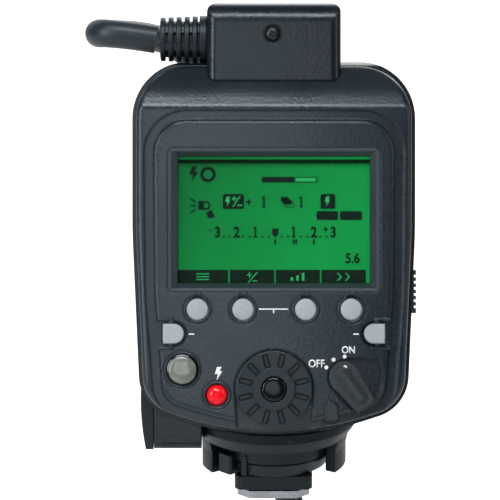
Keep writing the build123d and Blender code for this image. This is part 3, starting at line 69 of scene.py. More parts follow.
def seen(px, py, w):
    """Across and up, in mm, of what the photograph shows at a pixel, at depth w."""
    far = 1 + (w - PANEL) * MM
    x = AIM[0] + ((px - 274) * PIXEL - AIM[0]) * far
    v = AIM[1] + ((498.5 - py) * PIXEL - 1.2 - AIM[1]) * far
    return (x, v)


# Materials
def material(name):
    made = bpy.data.materials.new(name)
    made.use_nodes = True
    nodes = made.node_tree.nodes
    return made, nodes, made.node_tree.links, nodes["Principled BSDF"]


def noise(nodes, links, scale, detail=2.0, rough=0.5):
    where = nodes.new("ShaderNodeTexCoord")
    made = nodes.new("ShaderNodeTexNoise")
    made.inputs["Scale"].default_value = scale
    made.inputs["Detail"].default_value = detail
    made.inputs["Roughness"].default_value = rough
    links.new(where.outputs["Object"], made.inputs["Vector"])
    return made.outputs["Fac"]


def spread(nodes, links, source, low, high, start=0.3, end=0.7):
    ranged = nodes.new("ShaderNodeMapRange")
    ranged.inputs["From Min"].default_value = start
    ranged.inputs["From Max"].default_value = end
    ranged.inputs["To Min"].default_value = low
    ranged.inputs["To Max"].default_value = high
    links.new(source, ranged.inputs["Value"])
    return ranged.outputs["Result"]


def tint(nodes, links, source, first, second, start=0.3, end=0.7):
    ramp = nodes.new("ShaderNodeValToRGB")
    ramp.color_ramp.elements[0].position = start
    ramp.color_ramp.elements[0].color = (*first, 1)
    ramp.color_ramp.elements[1].position = end
    ramp.color_ramp.elements[1].color = (*second, 1)
    links.new(source, ramp.inputs["Fac"])
    return ramp.outputs["Color"]


def crowned(nodes, links, crown):
    """Normals of a face that bows slightly from side to side: crown is the bow, as one over metres."""
    where = nodes.new("ShaderNodeTexCoord")
    split = nodes.new("ShaderNodeSeparateXYZ")
    links.new(where.outputs["Object"], split.inputs["Vector"])
    square = nodes.new("ShaderNodeMath")
    square.operation = "MULTIPLY"
    links.new(split.outputs["X"], square.inputs[0])
    links.new(split.outputs["X"], square.inputs[1])
    fall = nodes.new("ShaderNodeMath")
    fall.operation = "MULTIPLY"
    fall.inputs[1].default_value = -crown
    links.new(square.outputs[0], fall.inputs[0])
    bow = nodes.new("ShaderNodeBump")
    bow.inputs["Distance"].default_value = 1.0
    links.new(fall.outputs[0], bow.inputs["Height"])
    return bow


def plastic(
    name, color, rough=0.5, specular=0.4, grain=1500, relief=0.25, tone=0.18, edge=0.25, depth=0.06,
    crown=0.0,
):
    """Moulded plastic: grain, slight change of tone and gloss, and edges broken by a small radius."""
    made, nodes, links, shader = material(name)
    coarse = noise(nodes, links, 55, 3)
    fine = noise(nodes, links, grain, 1)
    mixed = nodes.new("ShaderNodeMath")
    mixed.operation = "MULTIPLY_ADD"
    mixed.inputs[1].default_value = 0.55
    links.new(fine, mixed.inputs[0])
    halved = nodes.new("ShaderNodeMath")
    halved.operation = "MULTIPLY"
    halved.inputs[1].default_value = 0.45
    links.new(coarse, halved.inputs[0])
    links.new(halved.outputs[0], mixed.inputs[2])
    dark = tuple(c * (1 - tone) for c in color)
    pale = tuple(min(1, c * (1 + tone)) for c in color)
    links.new(tint(nodes, links, mixed.outputs[0], dark, pale, 0.4, 0.6), shader.inputs["Base Color"])
    links.new(spread(nodes, links, coarse, rough - 0.05, rough + 0.05), shader.inputs["Roughness"])
    shader.inputs["Specular IOR Level"].default_value = specular
    shader.inputs["Specular Tint"].default_value = (0.84, 0.95, 1.0, 1)
    bump = nodes.new("ShaderNodeBump")
    bump.inputs["Strength"].default_value = relief
    bump.inputs["Distance"].default_value = depth * MM
    links.new(fine, bump.inputs["Height"])
    under = bump
    if crown:
        under = crowned(nodes, links, crown)
        links.new(under.outputs["Normal"], bump.inputs["Normal"])
    if edge:
        broken = nodes.new("ShaderNodeBevel")
        broken.samples = 4
        broken.inputs["Radius"].default_value = edge * MM
        links.new(broken.outputs["Normal"], under.inputs["Normal"])
    links.new(bump.outputs["Normal"], shader.inputs["Normal"])
    return made


def metal(name, color, rough=0.3, grain=2500, relief=0.06, stretch=(1, 1, 1), edge=0.15):
    """Bare metal: drawn grain, gloss that changes a little, broken edges."""
    made, nodes, links, shader = material(name)
    where = nodes.new("ShaderNodeTexCoord")
    drawn = nodes.new("ShaderNodeMapping")
    drawn.inputs["Scale"].default_value = stretch
    streaks = nodes.new("ShaderNodeTexNoise")
    streaks.inputs["Scale"].default_value = grain
    links.new(where.outputs["Object"], drawn.inputs["Vector"])
    links.new(drawn.outputs["Vector"], streaks.inputs["Vector"])
    coarse = noise(nodes, links, 180, 3)
    dark = tuple(c * 0.8 for c in color)
    links.new(tint(nodes, links, coarse, dark, color), shader.inputs["Base Color"])
    gloss = spread(nodes, links, streaks.outputs["Fac"], rough - 0.08, rough + 0.1)
    links.new(gloss, shader.inputs["Roughness"])
    shader.inputs["Metallic"].default_value = 1.0
    bump = nodes.new("ShaderNodeBump")
    bump.inputs["Strength"].default_value = relief
    bump.inputs["Distance"].default_value = 0.03 * MM
    links.new(streaks.outputs["Fac"], bump.inputs["Height"])
    broken = nodes.new("ShaderNodeBevel")
    broken.samples = 4
    broken.inputs["Radius"].default_value = edge * MM
    links.new(broken.outputs["Normal"], bump.inputs["Normal"])
    links.new(bump.outputs["Normal"], shader.inputs["Normal"])
    return made


def ribbed_panel():
    """Diffuser panel with fine ribs, in relief and in a tone that changes across them."""
    made, nodes, links, shader = material("diffuser_panel")
    where = nodes.new("ShaderNodeTexCoord")
    ribs = nodes.new("ShaderNodeTexWave")
    ribs.bands_direction = "X"
    ribs.inputs["Scale"].default_value = 260
    ribs.inputs["Distortion"].default_value = 0.0
    links.new(where.outputs["Object"], ribs.inputs["Vector"])
    shaded = tint(nodes, links, ribs.outputs["Fac"], (0.66, 0.69, 0.7), (0.86, 0.88, 0.88), 0, 1)
    links.new(shaded, shader.inputs["Base Color"])
    shader.inputs["Roughness"].default_value = 0.28
    bump = nodes.new("ShaderNodeBump")
    bump.inputs["Strength"].default_value = 0.6
    bump.inputs["Distance"].default_value = 0.25 * MM
    links.new(ribs.outputs["Fac"], bump.inputs["Height"])
    links.new(bump.outputs["Normal"], shader.inputs["Normal"])
    return made


def clear(name, color, alpha, rough=0.05):
    """Thin clear pane that shows what is behind it, with a faint smear in its gloss."""
    made, nodes, links, shader = material(name)
    smear = noise(nodes, links, 90, 3)
    links.new(tint(nodes, links, smear, tuple(c * 0.85 for c in color), color), shader.inputs["Base Color"])
    links.new(spread(nodes, links, smear, rough, rough + 0.05), shader.inputs["Roughness"])
    shader.inputs["Alpha"].default_value = alpha
    return made


def liquid_display():
    """Backlit green display, with painted shade that darkens it to the left and towards the top, and a
    painted highlight along its top edge over a painted shadow.
    """
    made, nodes, links, shader = material("liquid_display")
    where = nodes.new("ShaderNodeTexCoord")
    split = nodes.new("ShaderNodeSeparateXYZ")
    links.new(where.outputs["Object"], split.inputs["Vector"])
    height = nodes.new("ShaderNodeVectorMath")
    height.operation = "DOT_PRODUCT"
    height.inputs[1].default_value = UP
    links.new(where.outputs["Object"], height.inputs[0])
    # Painted shade: the green grows darker to the left and towards the top.
    across = spread(nodes, links, split.outputs["X"], 0, 1, -0.0245, 0.022)
    painted_shade_toward_top = spread(nodes, links, height.outputs["Value"], 1, 0, 0.054, 0.0855)
    painted_shade_level = nodes.new("ShaderNodeMath")
    painted_shade_level.operation = "MULTIPLY_ADD"
    painted_shade_level.inputs[1].default_value = 0.72
    links.new(across, painted_shade_level.inputs[0])
    part = nodes.new("ShaderNodeMath")
    part.operation = "MULTIPLY"
    part.inputs[1].default_value = 0.36
    links.new(painted_shade_toward_top, part.inputs[0])
    links.new(part.outputs[0], painted_shade_level.inputs[2])
    ramp = nodes.new("ShaderNodeValToRGB")
    ramp.color_ramp.elements[0].position = 0.0
    ramp.color_ramp.elements[0].color = (0.0025, 0.098, 0.022, 1)
    ramp.color_ramp.elements[1].position = 0.85
    ramp.color_ramp.elements[1].color = (0.003, 0.21, 0.042, 1)
    middle = ramp.color_ramp.elements.new(0.42)
    middle.color = (0.003, 0.16, 0.033, 1)
    links.new(painted_shade_level.outputs[0], ramp.inputs["Fac"])
    # Painted highlight and painted shadow: a bright line at the very top of the display, over a dark strip
    # where the window's edge would shade it.
    painted_edge_highlight_shadow = nodes.new("ShaderNodeValToRGB")
    painted_edge_highlight_shadow.color_ramp.elements[0].position = 0.0
    painted_edge_highlight_shadow.color_ramp.elements[0].color = (1, 1, 1, 1)
    painted_edge_highlight_shadow.color_ramp.elements[1].position = 0.42
    painted_edge_highlight_shadow.color_ramp.elements[1].color = (0.05, 0.05, 0.05, 1)
    for at, level in ((0.28, 0.62), (0.62, 0.06), (0.66, 1.25), (0.9, 1.25)):
        stop = painted_edge_highlight_shadow.color_ramp.elements.new(at)
        stop.color = (level, level, level, 1)
    links.new(spread(nodes, links, height.outputs["Value"], 0, 1, 0.0820, 0.0856), painted_edge_highlight_shadow.inputs["Fac"])
    shade = nodes.new("ShaderNodeMix")
    shade.data_type = "RGBA"
    shade.blend_type = "MULTIPLY"
    shade.inputs["Factor"].default_value = 1.0
    links.new(ramp.outputs["Color"], shade.inputs["A"])
    links.new(painted_edge_highlight_shadow.outputs["Color"], shade.inputs["B"])
    links.new(shade.outputs["Result"], shader.inputs["Base Color"])
    # The backlight's glow carries the painted shade, highlight and shadow as well.
    links.new(shade.outputs["Result"], shader.inputs["Emission Color"])
    shader.inputs["Emission Strength"].default_value = 0.62
    shader.inputs["Roughness"].default_value = 0.6
    shader.inputs["Specular IOR Level"].default_value = 0.03
    return made


looks = {
    "panel": plastic("panel_plastic", (0.0080, 0.0132, 0.0192), 0.28, 0.52, 1300, 0.6, 0.16, 0.8, crown=1.5),
    "body": plastic("body_plastic", (0.0042, 0.0078, 0.0120), 0.27, 0.38, 1200, 0.7, 0.16, 0.7, crown=1.0),
    "bezel": plastic("bezel_plastic", (0.0150, 0.0215, 0.0290), 0.34, 0.6, 1500, 0.3, 0.12, 0.4),
    "grey": plastic("button_grey", (0.30, 0.335, 0.36), 0.45, 0.3, 1500, 0.2, 0.05, 0.45),
    "lens": plastic("mode_lens", (0.145, 0.158, 0.136), 0.08, 0.6, 600, 0.04, 0.12, 0),
    "red": plastic("button_red", (0.80, 0.004, 0.010), 0.16, 0.3, 700, 0.04, 0.06, 0.4),
    "black": plastic("button_black", (0.0015, 0.0022, 0.003), 0.14, 0.3, 600, 0.03, 0.2, 0.3),
    "dark": plastic("button_dark", (0.0065, 0.0105, 0.0150), 0.26, 0.5, 1500, 0.25, 0.16, 0.5),
    "dial": plastic("dial_plastic", (0.0060, 0.0100, 0.0140), 0.3, 0.42, 1300, 0.45, 0.16, 0.4),
    "lamp": plastic("lamp_lens", (0.003, 0.005, 0.007), 0.12, 0.3, 500, 0.02, 0.1, 0.3),
    "rubber": plastic("boot_rubber", (0.0060, 0.0100, 0.0145), 0.42, 0.38, 1100, 0.4, 0.16, 0.3),
    "cord": plastic("cord_rubber", (0.0105, 0.0165, 0.0225), 0.38, 0.42, 900, 0.2, 0.12, 0),
    "foot": plastic("foot_plastic", (0.0040, 0.0068, 0.0100), 0.3, 0.28, 1400, 0.4, 0.16, 0.4),
    "collar": plastic("collar_plastic", (0.0035, 0.0062, 0.0092), 0.36, 0.18, 1200, 0.5, 0.16, 0.5),
    "insulator": plastic("insulator_plastic", (0.006, 0.006, 0.007), 0.5, 0.3),
    "inner": plastic("inner_plastic", (0.02, 0.021, 0.022), 0.6, 0.3, edge=0),
    "pad": plastic("pad_rubber", (0.1, 0.105, 0.11), 0.7, 0.2, edge=0),
    "board": plastic("board_laminate", (0.008, 0.075, 0.03), 0.35, 0.5, 500, 0.1, 0.3, 0),
    "sleeve": plastic("cell_sleeve", (0.02, 0.05, 0.14), 0.25, 0.5, 300, 0.02, 0.1, 0),
    "capacitor": plastic("capacitor_sleeve", (0.012, 0.013, 0.02), 0.22, 0.5, 300, 0.02, 0.1, 0),
    "ferrite": plastic("ferrite", (0.03, 0.03, 0.032), 0.6, 0.3, 900, 0.3, 0.2, 0),
    "winding": metal("winding_copper", (0.55, 0.2, 0.07), 0.35, 1200, 0.2, (1, 1, 8)),
    "lampclear": plastic("focus_lens", (0.72, 0.76, 0.78), 0.12, 0.6, 400, 0.04, 0.06),
    "plate": metal("foot_metal", (0.34, 0.37, 0.40), 0.28, 1600, 0.12, (1, 9, 1)),
    "contact": metal("contact_metal", (0.72, 0.6, 0.36), 0.24),
    "steel": metal("pin_steel", (0.5, 0.51, 0.52), 0.28),
    "screw": metal("screw_steel", (0.04, 0.046, 0.052), 0.38, 1500, 0.1),
    "mount": metal("mount_metal", (0.06, 0.06, 0.066), 0.4, 1500, 0.1),
    "mirror": metal("reflector", (0.8, 0.82, 0.84), 0.12),
    "glass": clear("flash_glass", (0.9, 0.93, 0.95), 0.5),
    "window": clear("window_clear", (0.01, 0.02, 0.016), 0.03, 0.04),
    "diffuser": ribbed_panel(),
    "display": liquid_display(),
}

worn_by = {
    "panel": ["rear_cover"],
    "body": ["front_cover", "battery_door", "cable_housing", "ring_rear_cover", "ring_front_cover"],
    "bezel": ["display_bezel"],
    "window": ["display_window"],
    "display": ["display_module"],
    "grey": [
        "function_button_1", "function_button_2", "function_button_3", "function_button_4",
        "lamp_button", "ratio_button",
    ],
    "red": ["test_button"],
    "dial": ["select_dial"],
    "black": ["set_button", "mode_button"],
    "dark": ["power_switch", "door_lock_slider", "release_button_a", "release_button_b"],
    "lamp": ["confirmation_lamp"],
    "pad": ["button_pad"],
    "board": ["panel_circuit_board", "main_circuit_board", "head_circuit_board"],
    "screw": ["panel_screws", "cable_housing_screw", "head_screws"],
    "inner": ["rotary_switches", "battery_tray", "terminal_socket", "cord_clamp"],
    "sleeve": ["battery_cells"],
    "contact": ["battery_contacts", "door_contacts", "shoe_contacts"],
    "steel": ["battery_door_pin", "terminal_flap_pin", "locking_pin", "release_springs"],
    "rubber": ["terminal_flap", "strain_relief", "head_cord_gland"],
    "capacitor": ["flash_capacitor"],
    "ferrite": ["charging_transformer"],
    "winding": ["trigger_coil"],
    "plate": ["shoe_plate"],
    "insulator": ["contact_insulator"],
    "foot": ["foot_base", "lock_ring"],
    "collar": ["foot_collar"],
    "mount": ["lens_mount_collar"],
    "diffuser": ["flash_diffusers"],
    "mirror": ["flash_reflectors"],
    "glass": ["flash_tubes"],
    "lampclear": ["focus_lamps"],
    "cord": ["cord"],
}
for look, wearers in worn_by.items():
    for node in wearers:
        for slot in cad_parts[node].material_slots:
            slot.material = looks[look]


# Camera: square to the display side, a metre from it, as the photograph was taken
camera_data = bpy.data.cameras.new("photo_camera")
camera_data.sensor_width = 36.0
camera_data.lens = 285.7
camera_data.clip_start = 0.01
camera_data.clip_end = 50.0
camera = bpy.data.objects.new("photo_camera", camera_data)
bpy.context.scene.collection.objects.link(camera)
right = Vector((1, 0, 0))
turned = Matrix((right, UP, -INWARD)).transposed().to_4x4()
camera.matrix_world = Matrix.Translation(place(AIM[0], PANEL - 1000, AIM[1])) @ turned
bpy.context.scene.camera = camera


# Light, floor and background
def softbox(name, where, towards, width, height, power):
    lamp = bpy.data.lights.new(name, "AREA")
    lamp.shape = "RECTANGLE"
    lamp.size = width
    lamp.size_y = height
    lamp.energy = power
    made = bpy.data.objects.new(name, lamp)
    made.location = where
    made.rotation_euler = (Vector(towards) - Vector(where)).to_track_quat("-Z", "Y").to_euler()
    bpy.context.scene.collection.objects.link(made)


softbox("top_softbox", (-0.12, -0.46, 1.15), (0, 0, 0.05), 1.0, 0.2, 11.5)
softbox("front_softbox", (-0.18, -1.42, 0.62), (0, 0, 0.05), 0.7, 0.56, 2.6)
softbox("left_softbox", (-1.0, -0.62, 0.5), (0, 0, 0.05), 0.2, 0.9, 8.5)
softbox("right_softbox", (1.1, -0.3, 0.55), (0, 0, 0.05), 0.2, 0.9, 2.2)
softbox("rear_softbox", (0.3, 1.3, 0.7), (0, 0, 0.0), 0.9, 0.7, 5.0)


def white_for_camera(tree, low, high, gloss):
    """A strength of high for camera and glass, gloss for what shines, and low for the light on the object."""
    path = tree.nodes.new("ShaderNodeLightPath")
    clear_view = tree.nodes.new("ShaderNodeMath")
    clear_view.operation = "MAXIMUM"
    tree.links.new(path.outputs["Is Camera Ray"], clear_view.inputs[0])
    tree.links.new(path.outputs["Is Transmission Ray"], clear_view.inputs[1])
    shine = tree.nodes.new("ShaderNodeMix")
    shine.inputs["A"].default_value = low
    tree.links.new(path.outputs["Is Glossy Ray"], shine.inputs["Factor"])
    if isinstance(gloss, float):
        shine.inputs["B"].default_value = gloss
    else:
        tree.links.new(gloss, shine.inputs["B"])
    white = tree.nodes.new("ShaderNodeMix")
    if isinstance(high, float):
        white.inputs["B"].default_value = high
    else:
        tree.links.new(high, white.inputs["B"])
    tree.links.new(clear_view.outputs[0], white.inputs["Factor"])
    tree.links.new(shine.outputs["Result"], white.inputs["A"])
    return white.outputs["Result"]


world = bpy.data.worlds.new("studio")
bpy.context.scene.world = world
world.use_nodes = True
sky = world.node_tree.nodes["Background"]
sky.inputs["Color"].default_value = (1, 1, 1, 1)
# In gloss the backdrop is white behind the object, and the room is dim on the camera's side
direction = world.node_tree.nodes.new("ShaderNodeTexCoord")
facing = world.node_tree.nodes.new("ShaderNodeSeparateXYZ")
world.node_tree.links.new(direction.outputs["Generated"], facing.inputs["Vector"])
backdrop = spread(world.node_tree.nodes, world.node_tree.links, facing.outputs["Y"], 0.12, 1.0, 0.55, 0.9)
world.node_tree.links.new(white_for_camera(world.node_tree, 0.2, 1.0, backdrop), sky.inputs["Strength"])

floor_look, nodes, links, shader = material("floor_paper")
paper = tint(nodes, links, noise(nodes, links, 3, 2), (0.88, 0.88, 0.88), (0.92, 0.92, 0.92))
links.new(paper, shader.inputs["Base Color"])
shader.inputs["Roughness"].default_value = 0.9
shader.inputs["Specular IOR Level"].default_value = 0.1
shader.inputs["Emission Color"].default_value = (1, 1, 1, 1)
# The paper looks whiter far from the lamps, and keeps the shadow near the object
floor_place = nodes.new("ShaderNodeTexCoord")
floor_reach = nodes.new("ShaderNodeVectorMath")
floor_reach.operation = "LENGTH"
links.new(floor_place.outputs["Object"], floor_reach.inputs[0])
far_white = spread(nodes, links, floor_reach.outputs["Value"], 0.6, 0.82, 0.5, 2.2)
links.new(white_for_camera(floor_look.node_tree, 0.0, far_white, 0.0), shader.inputs["Emission Strength"])
floor_mesh = bpy.data.meshes.new("floor")
low = cad_box[0][2]
floor_mesh.from_pydata([(-6, -6, low), (6, -6, low), (6, 6, low), (-6, 6, low)], [], [(0, 1, 2, 3)])
floor_mesh.materials.append(floor_look)
floor = bpy.data.objects.new("floor", floor_mesh)
bpy.context.scene.collection.objects.link(floor)
bpy.context.scene.view_settings.view_transform = "Standard"


# Lead: leaves the boot to the left, goes round behind the unit and hangs to the ring head
route = [
    place(-30.0, -19.5, 115.25),
    place(-33.4, -19.5, 115.8),
    place(-38.8, -19.3, 116.5),
    place(-44.2, -17.2, 117.0),
    place(-45.2, -10.0, 117.3),
    place(-44.9, -0.5, 117.7),
    place(-43.6, 12.0, 118.4),
    place(-39.8, 26.5, 119.2),
    place(-34.0, 39.5, 119.4),
    place(-26.6, 50.4, 117.9),
    place(-19.2, 57.6, 111.6),
    Vector((-0.0145, 0.0895, 0.0675)),
    Vector((-0.0095, 0.0875, 0.0530)),
    Vector((-0.0055, 0.0835, 0.0380)),
    Vector((-0.0022, 0.0780, 0.0225)),
    Vector((0.0, 0.0720, 0.0065)),
    Vector((0.0010, 0.0660, -0.0100)),
    Vector((0.0036, 0.0608, -0.0262)),
    Vector((0.0102, 0.0570, -0.0394)),
    Vector((0.0187, 0.0520, -0.0520)),
    Vector((0.0280, 0.0452, -0.0636)),
    Vector((0.0367, 0.0396, -0.0744)),
    Vector((0.0451, 0.0373, -0.0847)),
    Vector((0.0529, 0.0404, -0.0943)),
    Vector((0.0591, 0.0486, -0.1020)),
    Vector((0.0624, 0.0603, -0.1060)),
    Vector((0.0624, 0.0733, -0.1060)),
]
lead_curve = bpy.data.curves.new("lead", "CURVE")
lead_curve.dimensions = "3D"
lead_curve.bevel_depth = 3.6 * MM
lead_curve.bevel_resolution = 8
lead_curve.resolution_u = 12
lead_curve.use_fill_caps = True
spline = lead_curve.splines.new("NURBS")
spline.points.add(len(route) - 1)
for point, where in zip(spline.points, route):
    point.co = (*where, 1)
spline.order_u = 3
spline.use_endpoint_u = True
lead_curve.materials.append(looks["cord"])
lead = bpy.data.objects.new("lead", lead_curve)
bpy.context.scene.collection.objects.link(lead)
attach(lead, "unit")
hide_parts("cord")


# Flat marks: printed on the panel, or shown by the display
def outline_piece(name, shapes, w, thickness, look, body="unit"):
    """One piece of thin raised shapes at depth w; each shape is a list of places across and up, in mm."""
    mesh = bmesh.new()
    for shape in shapes:
        low_ring = [mesh.verts.new(place(x, w, v)) for x, v in shape]
        high_ring = [mesh.verts.new(place(x, w - thickness, v)) for x, v in shape]
        mesh.faces.new(high_ring)
        mesh.faces.new(list(reversed(low_ring)))
        for index in range(len(shape)):
            following = (index + 1) % len(shape)
            mesh.faces.new((low_ring[index], low_ring[following], high_ring[following], high_ring[index]))
    bmesh.ops.recalc_face_normals(mesh, faces=mesh.faces)
    data = bpy.data.meshes.new(name)
    mesh.to_mesh(data)
    mesh.free()
    data.materials.append(look)
    made = bpy.data.objects.new(name, data)
    bpy.context.scene.collection.objects.link(made)
    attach(made, body)
    return made


def box_shape(x0, v0, x1, v1, corner=0.0):
    """Rectangle between two places, with rounded corners."""
    if not corner:
        return [(x0, v0), (x1, v0), (x1, v1), (x0, v1)]
    points = []
    for cx, cv, start in ((x1 - corner, v1 - corner, 0), (x0 + corner, v1 - corner, 90),
                          (x0 + corner, v0 + corner, 180), (x1 - corner, v0 + corner, 270)):
        for step in range(5):
            turn = math.radians(start + step * 22.5)
            points.append((cx + corner * math.cos(turn), cv + corner * math.sin(turn)))
    return points


def disc_shape(x, v, radius, count=20):
    turns = [math.tau * index / count for index in range(count)]
    return [(x + radius * math.cos(turn), v + radius * math.sin(turn)) for turn in turns]


def stroke_shape(x0, v0, x1, v1, width):
    """Straight stroke of a width between two places."""
    along = Vector((x1 - x0, v1 - v0)).normalized() * (width / 2)
    across = Vector((-along.y, along.x))
    return [
        (x0 + across.x, v0 + across.y), (x0 - across.x, v0 - across.y),
        (x1 - across.x, v1 - across.y), (x1 + across.x, v1 + across.y),
    ]


CROP_LEFT = 185
CROP_TOP = 150
CROP_SCALE = 7.84


def on_glass(x, y):
    """Across and up of a place on the display, from its place on an enlarged crop of the photograph."""
    return seen(CROP_LEFT + x / CROP_SCALE, CROP_TOP + y / CROP_SCALE, LIQUID)


def glass_box(x0, y0, x1, y1, corner=0.0):
    low_corner = on_glass(x0, y1)
    high_corner = on_glass(x1, y0)
    return box_shape(*low_corner, *high_corner, corner)


def glass_stroke(x0, y0, x1, y1, width):
    return stroke_shape(*on_glass(x0, y0), *on_glass(x1, y1), width * PIXEL / CROP_SCALE)


def glass_shape(points):
    return [on_glass(x, y) for x, y in points]


BOLT = ((2.6, 0), (6.0, 0), (4.2, 3.2), (6.4, 3.2), (2.2, 10), (3.2, 5.2), (0.8, 5.2))


def bolt_points(x, y, height):
    """Lightning bolt whose top left is at x, y."""
    unit = height / 10
    return [(x + across * unit, y + down * unit) for across, down in BOLT]


def band_shapes(x, y, inner, outer, start, end, count):
    """Short flat pieces that follow an arc of a ring on the display, between two radii."""
    shapes = []
    for step in range(count):
        first = start + (end - start) * step / count
        second = start + (end - start) * (step + 1) / count
        corners = ((outer, first), (outer, second), (inner, second), (inner, first))
        shapes.append(glass_shape([(x + r * math.cos(turn), y + r * math.sin(turn)) for r, turn in corners]))
    return shapes


def number_mesh(words, x0, y0, x1, y1, w, mapping, thickness, bold=0.0):
    """Faces of plain figures set in a box, given by its corners before mapping."""
    curve = bpy.data.curves.new("figure", "FONT")
    curve.body = words
    curve.offset = bold
    source = bpy.data.objects.new("figure", curve)
    bpy.context.scene.collection.objects.link(source)
    bpy.context.view_layer.update()
    data = bpy.data.meshes.new_from_object(source)
    bpy.data.objects.remove(source)
    xs = [v.co.x for v in data.vertices]
    ys = [v.co.y for v in data.vertices]
    mesh = bmesh.new()
    mesh.from_mesh(data)
    middle = (x0 + x1) / 2
    half = min((x1 - x0) / 2, 0.43 * abs(y1 - y0) * (max(xs) - min(xs)) / (max(ys) - min(ys)))
    for vert in mesh.verts:
        across = 2 * (vert.co.x - min(xs)) / (max(xs) - min(xs)) - 1
        high = (vert.co.y - min(ys)) / (max(ys) - min(ys))
        x, v = mapping(middle + across * half, y1 + high * (y0 - y1))
        vert.co = place(x, w, v)
    grown = bmesh.ops.extrude_face_region(mesh, geom=mesh.faces[:])
    for part in grown["geom"]:
        if isinstance(part, bmesh.types.BMVert):
            part.co -= INWARD * thickness * MM
    bmesh.ops.recalc_face_normals(mesh, faces=mesh.faces)
    result = bpy.data.meshes.new("figure")
    mesh.to_mesh(result)
    mesh.free()
    bpy.data.meshes.remove(data)
    return result


def join_into(piece, meshes):
    """Adds meshes to a piece."""
    whole = bmesh.new()
    whole.from_mesh(piece.data)
    for data in meshes:
        whole.from_mesh(data)
    whole.to_mesh(piece.data)
    whole.free()


ink = plastic("display_ink", (0.0015, 0.010, 0.005), 0.6, 0.1, 800, 0.02, 0.15, 0)
lit = plastic("display_lit", (0.02, 0.36, 0.1), 0.6, 0.1, 800, 0.02, 0.08, 0)
print_white = plastic("panel_print", (0.72, 0.75, 0.77), 0.5, 0.3, 900, 0.05, 0.06, 0)

dark_shapes = [
    glass_box(600, 212, 862, 256, 0.35), glass_box(862, 212, 1035, 217), glass_box(862, 250, 1035, 256),
    glass_box(1028, 214, 1037, 254),
    glass_stroke(42, 380, 84, 412, 13), glass_stroke(40, 437, 85, 437, 13),
    glass_stroke(42, 495, 84, 463, 13),
    glass_shape([(103, 400), (150, 400), (150, 470), (103, 470)]),
    glass_shape([(163, 492), (206, 470), (238, 528), (182, 538)]),
    glass_box(296, 346, 463, 463, 0.5), glass_box(1062, 346, 1179, 463, 0.5),
    glass_box(475, 402, 524, 414), glass_box(493, 384, 506, 432),
    glass_box(1030, 480, 1200, 550, 0.45), glass_box(1215, 480, 1388, 550, 0.45),
    glass_box(750, 368, 815, 408, 0.25), glass_box(768, 390, 838, 428, 0.25),
    glass_box(785, 410, 858, 416), glass_box(785, 446, 858, 452),
    glass_box(785, 410, 792, 452), glass_box(851, 410, 858, 452),
    glass_box(180, 625, 216, 634), glass_box(1080, 618, 1123, 628), glass_box(1097, 600, 1107, 646),
    glass_shape([(683, 616), (733, 616), (733, 660), (708, 687), (683, 660)]),
    glass_box(700, 700, 715, 742), glass_box(1003, 700, 1018, 742),
    glass_box(844, 700, 857, 742), glass_box(866, 700, 879, 742), glass_box(844, 715, 879, 724),
    glass_box(-82, 940, 337, 1045), glass_box(352, 940, 700, 1045),
    glass_box(712, 940, 1058, 1045), glass_box(1070, 940, 1418, 1045),
]
for one_x, one_y in ((617, 364), (910, 364), (551, 600), (851, 600)):
    dark_shapes.append(glass_box(one_x - 5, one_y, one_x + 9, one_y + 88))
    dark_shapes.append(glass_stroke(one_x - 15, one_y + 17, one_x - 2, one_y + 5, 11))
    dark_shapes.append(glass_box(one_x - 15, one_y + 77, one_x + 19, one_y + 88))
for dot in (303, 353, 455, 507, 607, 658, 758, 808, 908, 960, 1060, 1112):
    dark_shapes.append(glass_box(dot - 8, 672, dot + 8, 688))
dark_shapes.append(glass_shape(bolt_points(22, 128, 128)))
dark_shapes += band_shapes(180, 192, 36, 62, 0, math.tau, 28)
dark_shapes += band_shapes(165, 435, 20, 35, -math.pi / 2, math.pi / 2, 14)
dark_shapes.append(glass_box(148, 400, 166, 415))
dark_shapes.append(glass_box(148, 455, 166, 470))
display_marks = outline_piece("display_marks", dark_shapes, LIQUID, 0.02, ink)
figures = [
    ("3", 228, 600, 280, 688), ("2", 378, 600, 431, 688),
    ("2", 984, 600, 1036, 688), ("3", 1135, 600, 1188, 688),
    ("5.6", 1240, 806, 1388, 890),
]
join_into(display_marks, [number_mesh(*figure, LIQUID, on_glass, 0.02, 0.032) for figure in figures])
lit_shapes = [
    glass_shape(bolt_points(308, 366, 78)), glass_box(366, 378, 404, 387), glass_box(381, 363, 390, 402),
    glass_stroke(375, 446, 432, 362, 8), glass_box(408, 430, 450, 439),
    glass_shape(bolt_points(1087, 364, 82)),
    glass_box(872, 222, 1022, 246),
    glass_box(484, 976, 526, 984), glass_box(501, 958, 509, 1001),
    glass_stroke(494, 1042, 566, 960, 8), glass_box(526, 1024, 566, 1032),
    glass_box(90, 968, 190, 976), glass_box(90, 990, 190, 998), glass_box(90, 1012, 190, 1020),
    glass_box(828, 1000, 848, 1026), glass_box(872, 984, 892, 1026), glass_box(916, 964, 936, 1026),
    glass_shape([(1188, 964), (1200, 964), (1232, 994), (1200, 1026), (1188, 1026), (1218, 994)]),
    glass_shape([(1252, 964), (1264, 964), (1296, 994), (1264, 1026), (1252, 1026), (1282, 994)]),
]
outline_piece("display_lit_marks", lit_shapes, LIQUID - 0.03, 0.02, lit)


def on_panel(px, py):
    return seen(px, py, PANEL)


def panel_box(px0, py0, px1, py1):
    return box_shape(*on_panel(px0, py1), *on_panel(px1, py0))


